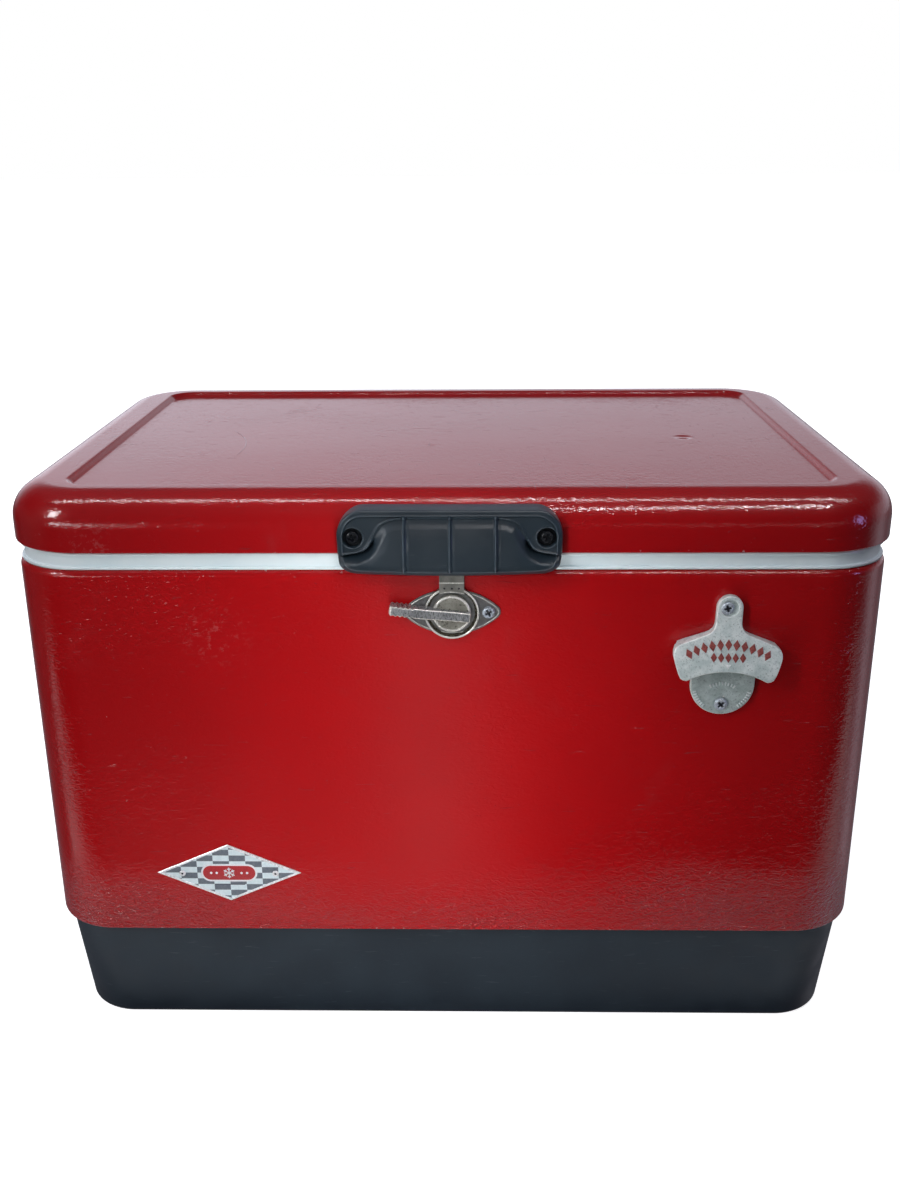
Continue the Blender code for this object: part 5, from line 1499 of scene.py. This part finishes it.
# The same, and a colour.
GLOSSY_LIGHTS = (
    ("ceiling_strip_far", (0.0, -0.25, 1.90), (0.0, -0.2, 0.4), (2.8, 0.04), 14.0, (1, 0.97, 0.98)),
    ("ceiling_strip_near", (0.42, -1.00, 1.75), (0.0, -0.2, 0.4), (0.9, 0.04), 7.0, (1, 0.97, 0.98)),
    ("window_band", (-1.7, -2.2, 0.66), (-0.2, -0.2, 0.4), (1.7, 0.14), 10.0, (0.96, 0.97, 1)),
    ("horizon_line", (1.25, -2.6, 0.60), (0.2, -0.2, 0.4), (1.8, 0.05), 0.7, (1, 0.97, 0.98)),
    ("blue_window", (1.7, -0.9, 0.55), (0.28, -0.18, 0.35), (0.3, 0.5), 2.5, (0.45, 0.40, 1)),
    ("left_window", (-1.3, -0.9, 1.15), (-0.1, -0.2, 0.35), (0.30, 0.45), 8.0, (0.97, 0.98, 1)),
)


def level_card(name, left, right, near, far, z):
    """A flat rectangle with its face upwards."""
    mesh = bpy.data.meshes.new(name)
    corners = [(left, near, z), (right, near, z), (right, far, z), (left, far, z)]
    mesh.from_pydata(corners, [], [(0, 1, 2, 3)])
    return add_object(name, mesh)


def make_stage():
    """A pale floor, and a pale strip in front of the chest that only reflections see."""
    floor = level_card("floor", -40, 40, -40, 40, 0)
    pale = Surface("pale_floor", {"Roughness": 0.9, "Emission Strength": 0.80})
    tone = pale.blend(pale.noise(3.0, 2.0), (0.86, 0.86, 0.87), (0.88, 0.88, 0.89))
    floor.data.materials.append(pale.set_inputs({"Base Color": tone, "Emission Color": (1, 1, 1, 1)}))
    floor.visible_diffuse = False
    floor.visible_glossy = False

    card = level_card("reflected_floor", -1, 1, -0.46, -0.205, 0.001)
    glow = Surface("reflected_floor", {"Roughness": 1.0, "Specular IOR Level": 0.0})
    fade = glow.ramp(glow.axis("Y"), -0.360, -0.330)
    left_side = glow.ramp(glow.axis("X"), -0.30, 0.0, 0.72, 0.30)
    right_side = glow.ramp(glow.axis("X"), 0.0, 0.30, 0.0, 0.38)
    strength = glow.times(fade, glow.maths("ADD", left_side, right_side))
    glow.set_inputs({"Base Color": (0, 0, 0, 1), "Emission Color": (0.95, 0.97, 1, 1)})
    card.data.materials.append(glow.set_inputs({"Emission Strength": strength}))
    card.visible_camera = False
    card.visible_diffuse = False
    card.visible_shadow = False
    card.visible_transmission = False


def make_world():
    """White to the camera. Reflections see a pale room behind and beside, and a dim one elsewhere."""
    world = bpy.data.worlds.new("studio")
    bpy.context.scene.world = world
    sky = Graph(world)
    direction = sky.put("ShaderNodeTexCoord").outputs["Generated"]
    x, y, z = sky.put("ShaderNodeSeparateXYZ", {"Vector": direction}).outputs
    under = sky.times(sky.ramp(z, -0.10, -0.02, 1.0, 0.0), sky.ramp(y, 0.2, 0.6))
    shares = (
        sky.ramp(y, -0.20, 0.30, 0.05, 1.0),
        sky.ramp(z, 0.12, 0.46, 1.0, 0.08),
        sky.ramp(x, -0.5, 0.5, 1.25, 0.75),
        sky.ramp(x, -0.85, -0.35, 0.04, 1.0),
        sky.maths("SUBTRACT", 1.0, sky.times(under, 0.8)),
    )
    glossy = GLOSSY_SKY
    for share in shares:
        glossy = sky.times(share, glossy)
    sideways = sky.ramp(x, -0.7, 0.7, 1.12 * DIFFUSE_SKY, 0.88 * DIFFUSE_SKY)
    even = sky.times(sky.ramp(z, 0.12, 0.75, 0.08, 1.0), sideways)
    rays = sky.put("ShaderNodeLightPath").outputs
    inputs = {0: rays["Is Glossy Ray"], 2: even, 3: glossy}
    strength = sky.put("ShaderNodeMix", inputs, data_type="FLOAT").outputs[0]
    room = sky.put("ShaderNodeBackground", {"Color": (0.93, 0.91, 1.03, 1), "Strength": strength}).outputs[0]
    white = sky.put("ShaderNodeBackground", {"Color": (1, 1, 1, 1), "Strength": 1.0}).outputs[0]
    mix = sky.put("ShaderNodeMixShader", {0: rays["Is Camera Ray"], 1: room, 2: white})
    sky.put("ShaderNodeOutputWorld", {"Surface": mix.outputs[0]})


def area_light(name, at, target, size, power, colour=(1, 1, 1)):
    data = bpy.data.lights.new(name, "AREA")
    data.shape = "RECTANGLE"
    data.size, data.size_y = size
    data.energy = power
    data.color = colour
    light = add_object(name, data)
    light.location = at
    light.rotation_mode = "QUATERNION"
    light.rotation_quaternion = (Vector(target) - Vector(at)).to_track_quat("-Z", "Y")
    light.visible_camera = False
    return light


def make_lights():
    """Diffuse-only lights shape the front, the sides and the back; glossy-only ones draw the highlights."""
    for settings in DIFFUSE_LIGHTS:
        area_light(*settings).visible_glossy = False
    for settings in GLOSSY_LIGHTS:
        area_light(*settings).visible_diffuse = False


def make_camera():
    """The viewing angle: a little above the lid, turned and rolled very slightly."""
    pitch, yaw, roll = math.radians(19.78), math.radians(-1.21), math.radians(-0.44)
    forward = Vector((math.sin(yaw) * math.cos(pitch), math.cos(yaw) * math.cos(pitch), -math.sin(pitch)))
    right = Vector((math.cos(yaw), -math.sin(yaw), 0))
    up = right.cross(forward)
    rolled_right = right * math.cos(roll) + up * math.sin(roll)
    rolled_up = up * math.cos(roll) - right * math.sin(roll)
    data = bpy.data.cameras.new("camera")
    data.lens = 37.02
    data.sensor_width = 36
    data.clip_start = 0.05
    camera = add_object("camera", data)
    turn = Matrix((rolled_right, rolled_up, -forward)).transposed().to_4x4()
    camera.matrix_world = Matrix.Translation(CAMERA_AT) @ turn
    bpy.context.scene.camera = camera
    bpy.context.scene.view_settings.view_transform = "Standard"


make_camera()
make_lid_shell()
make_belt()
make_base()
make_tub()
make_lid_liner()
make_fasteners()
make_grip()
make_strike()
make_latch()
make_lever()
make_opener()
make_opener_marks()
make_badge()
make_bail("left", -1)
make_bail("right", 1)
make_drain()
dress_cad_nodes()
make_stage()
make_world()
make_lights()
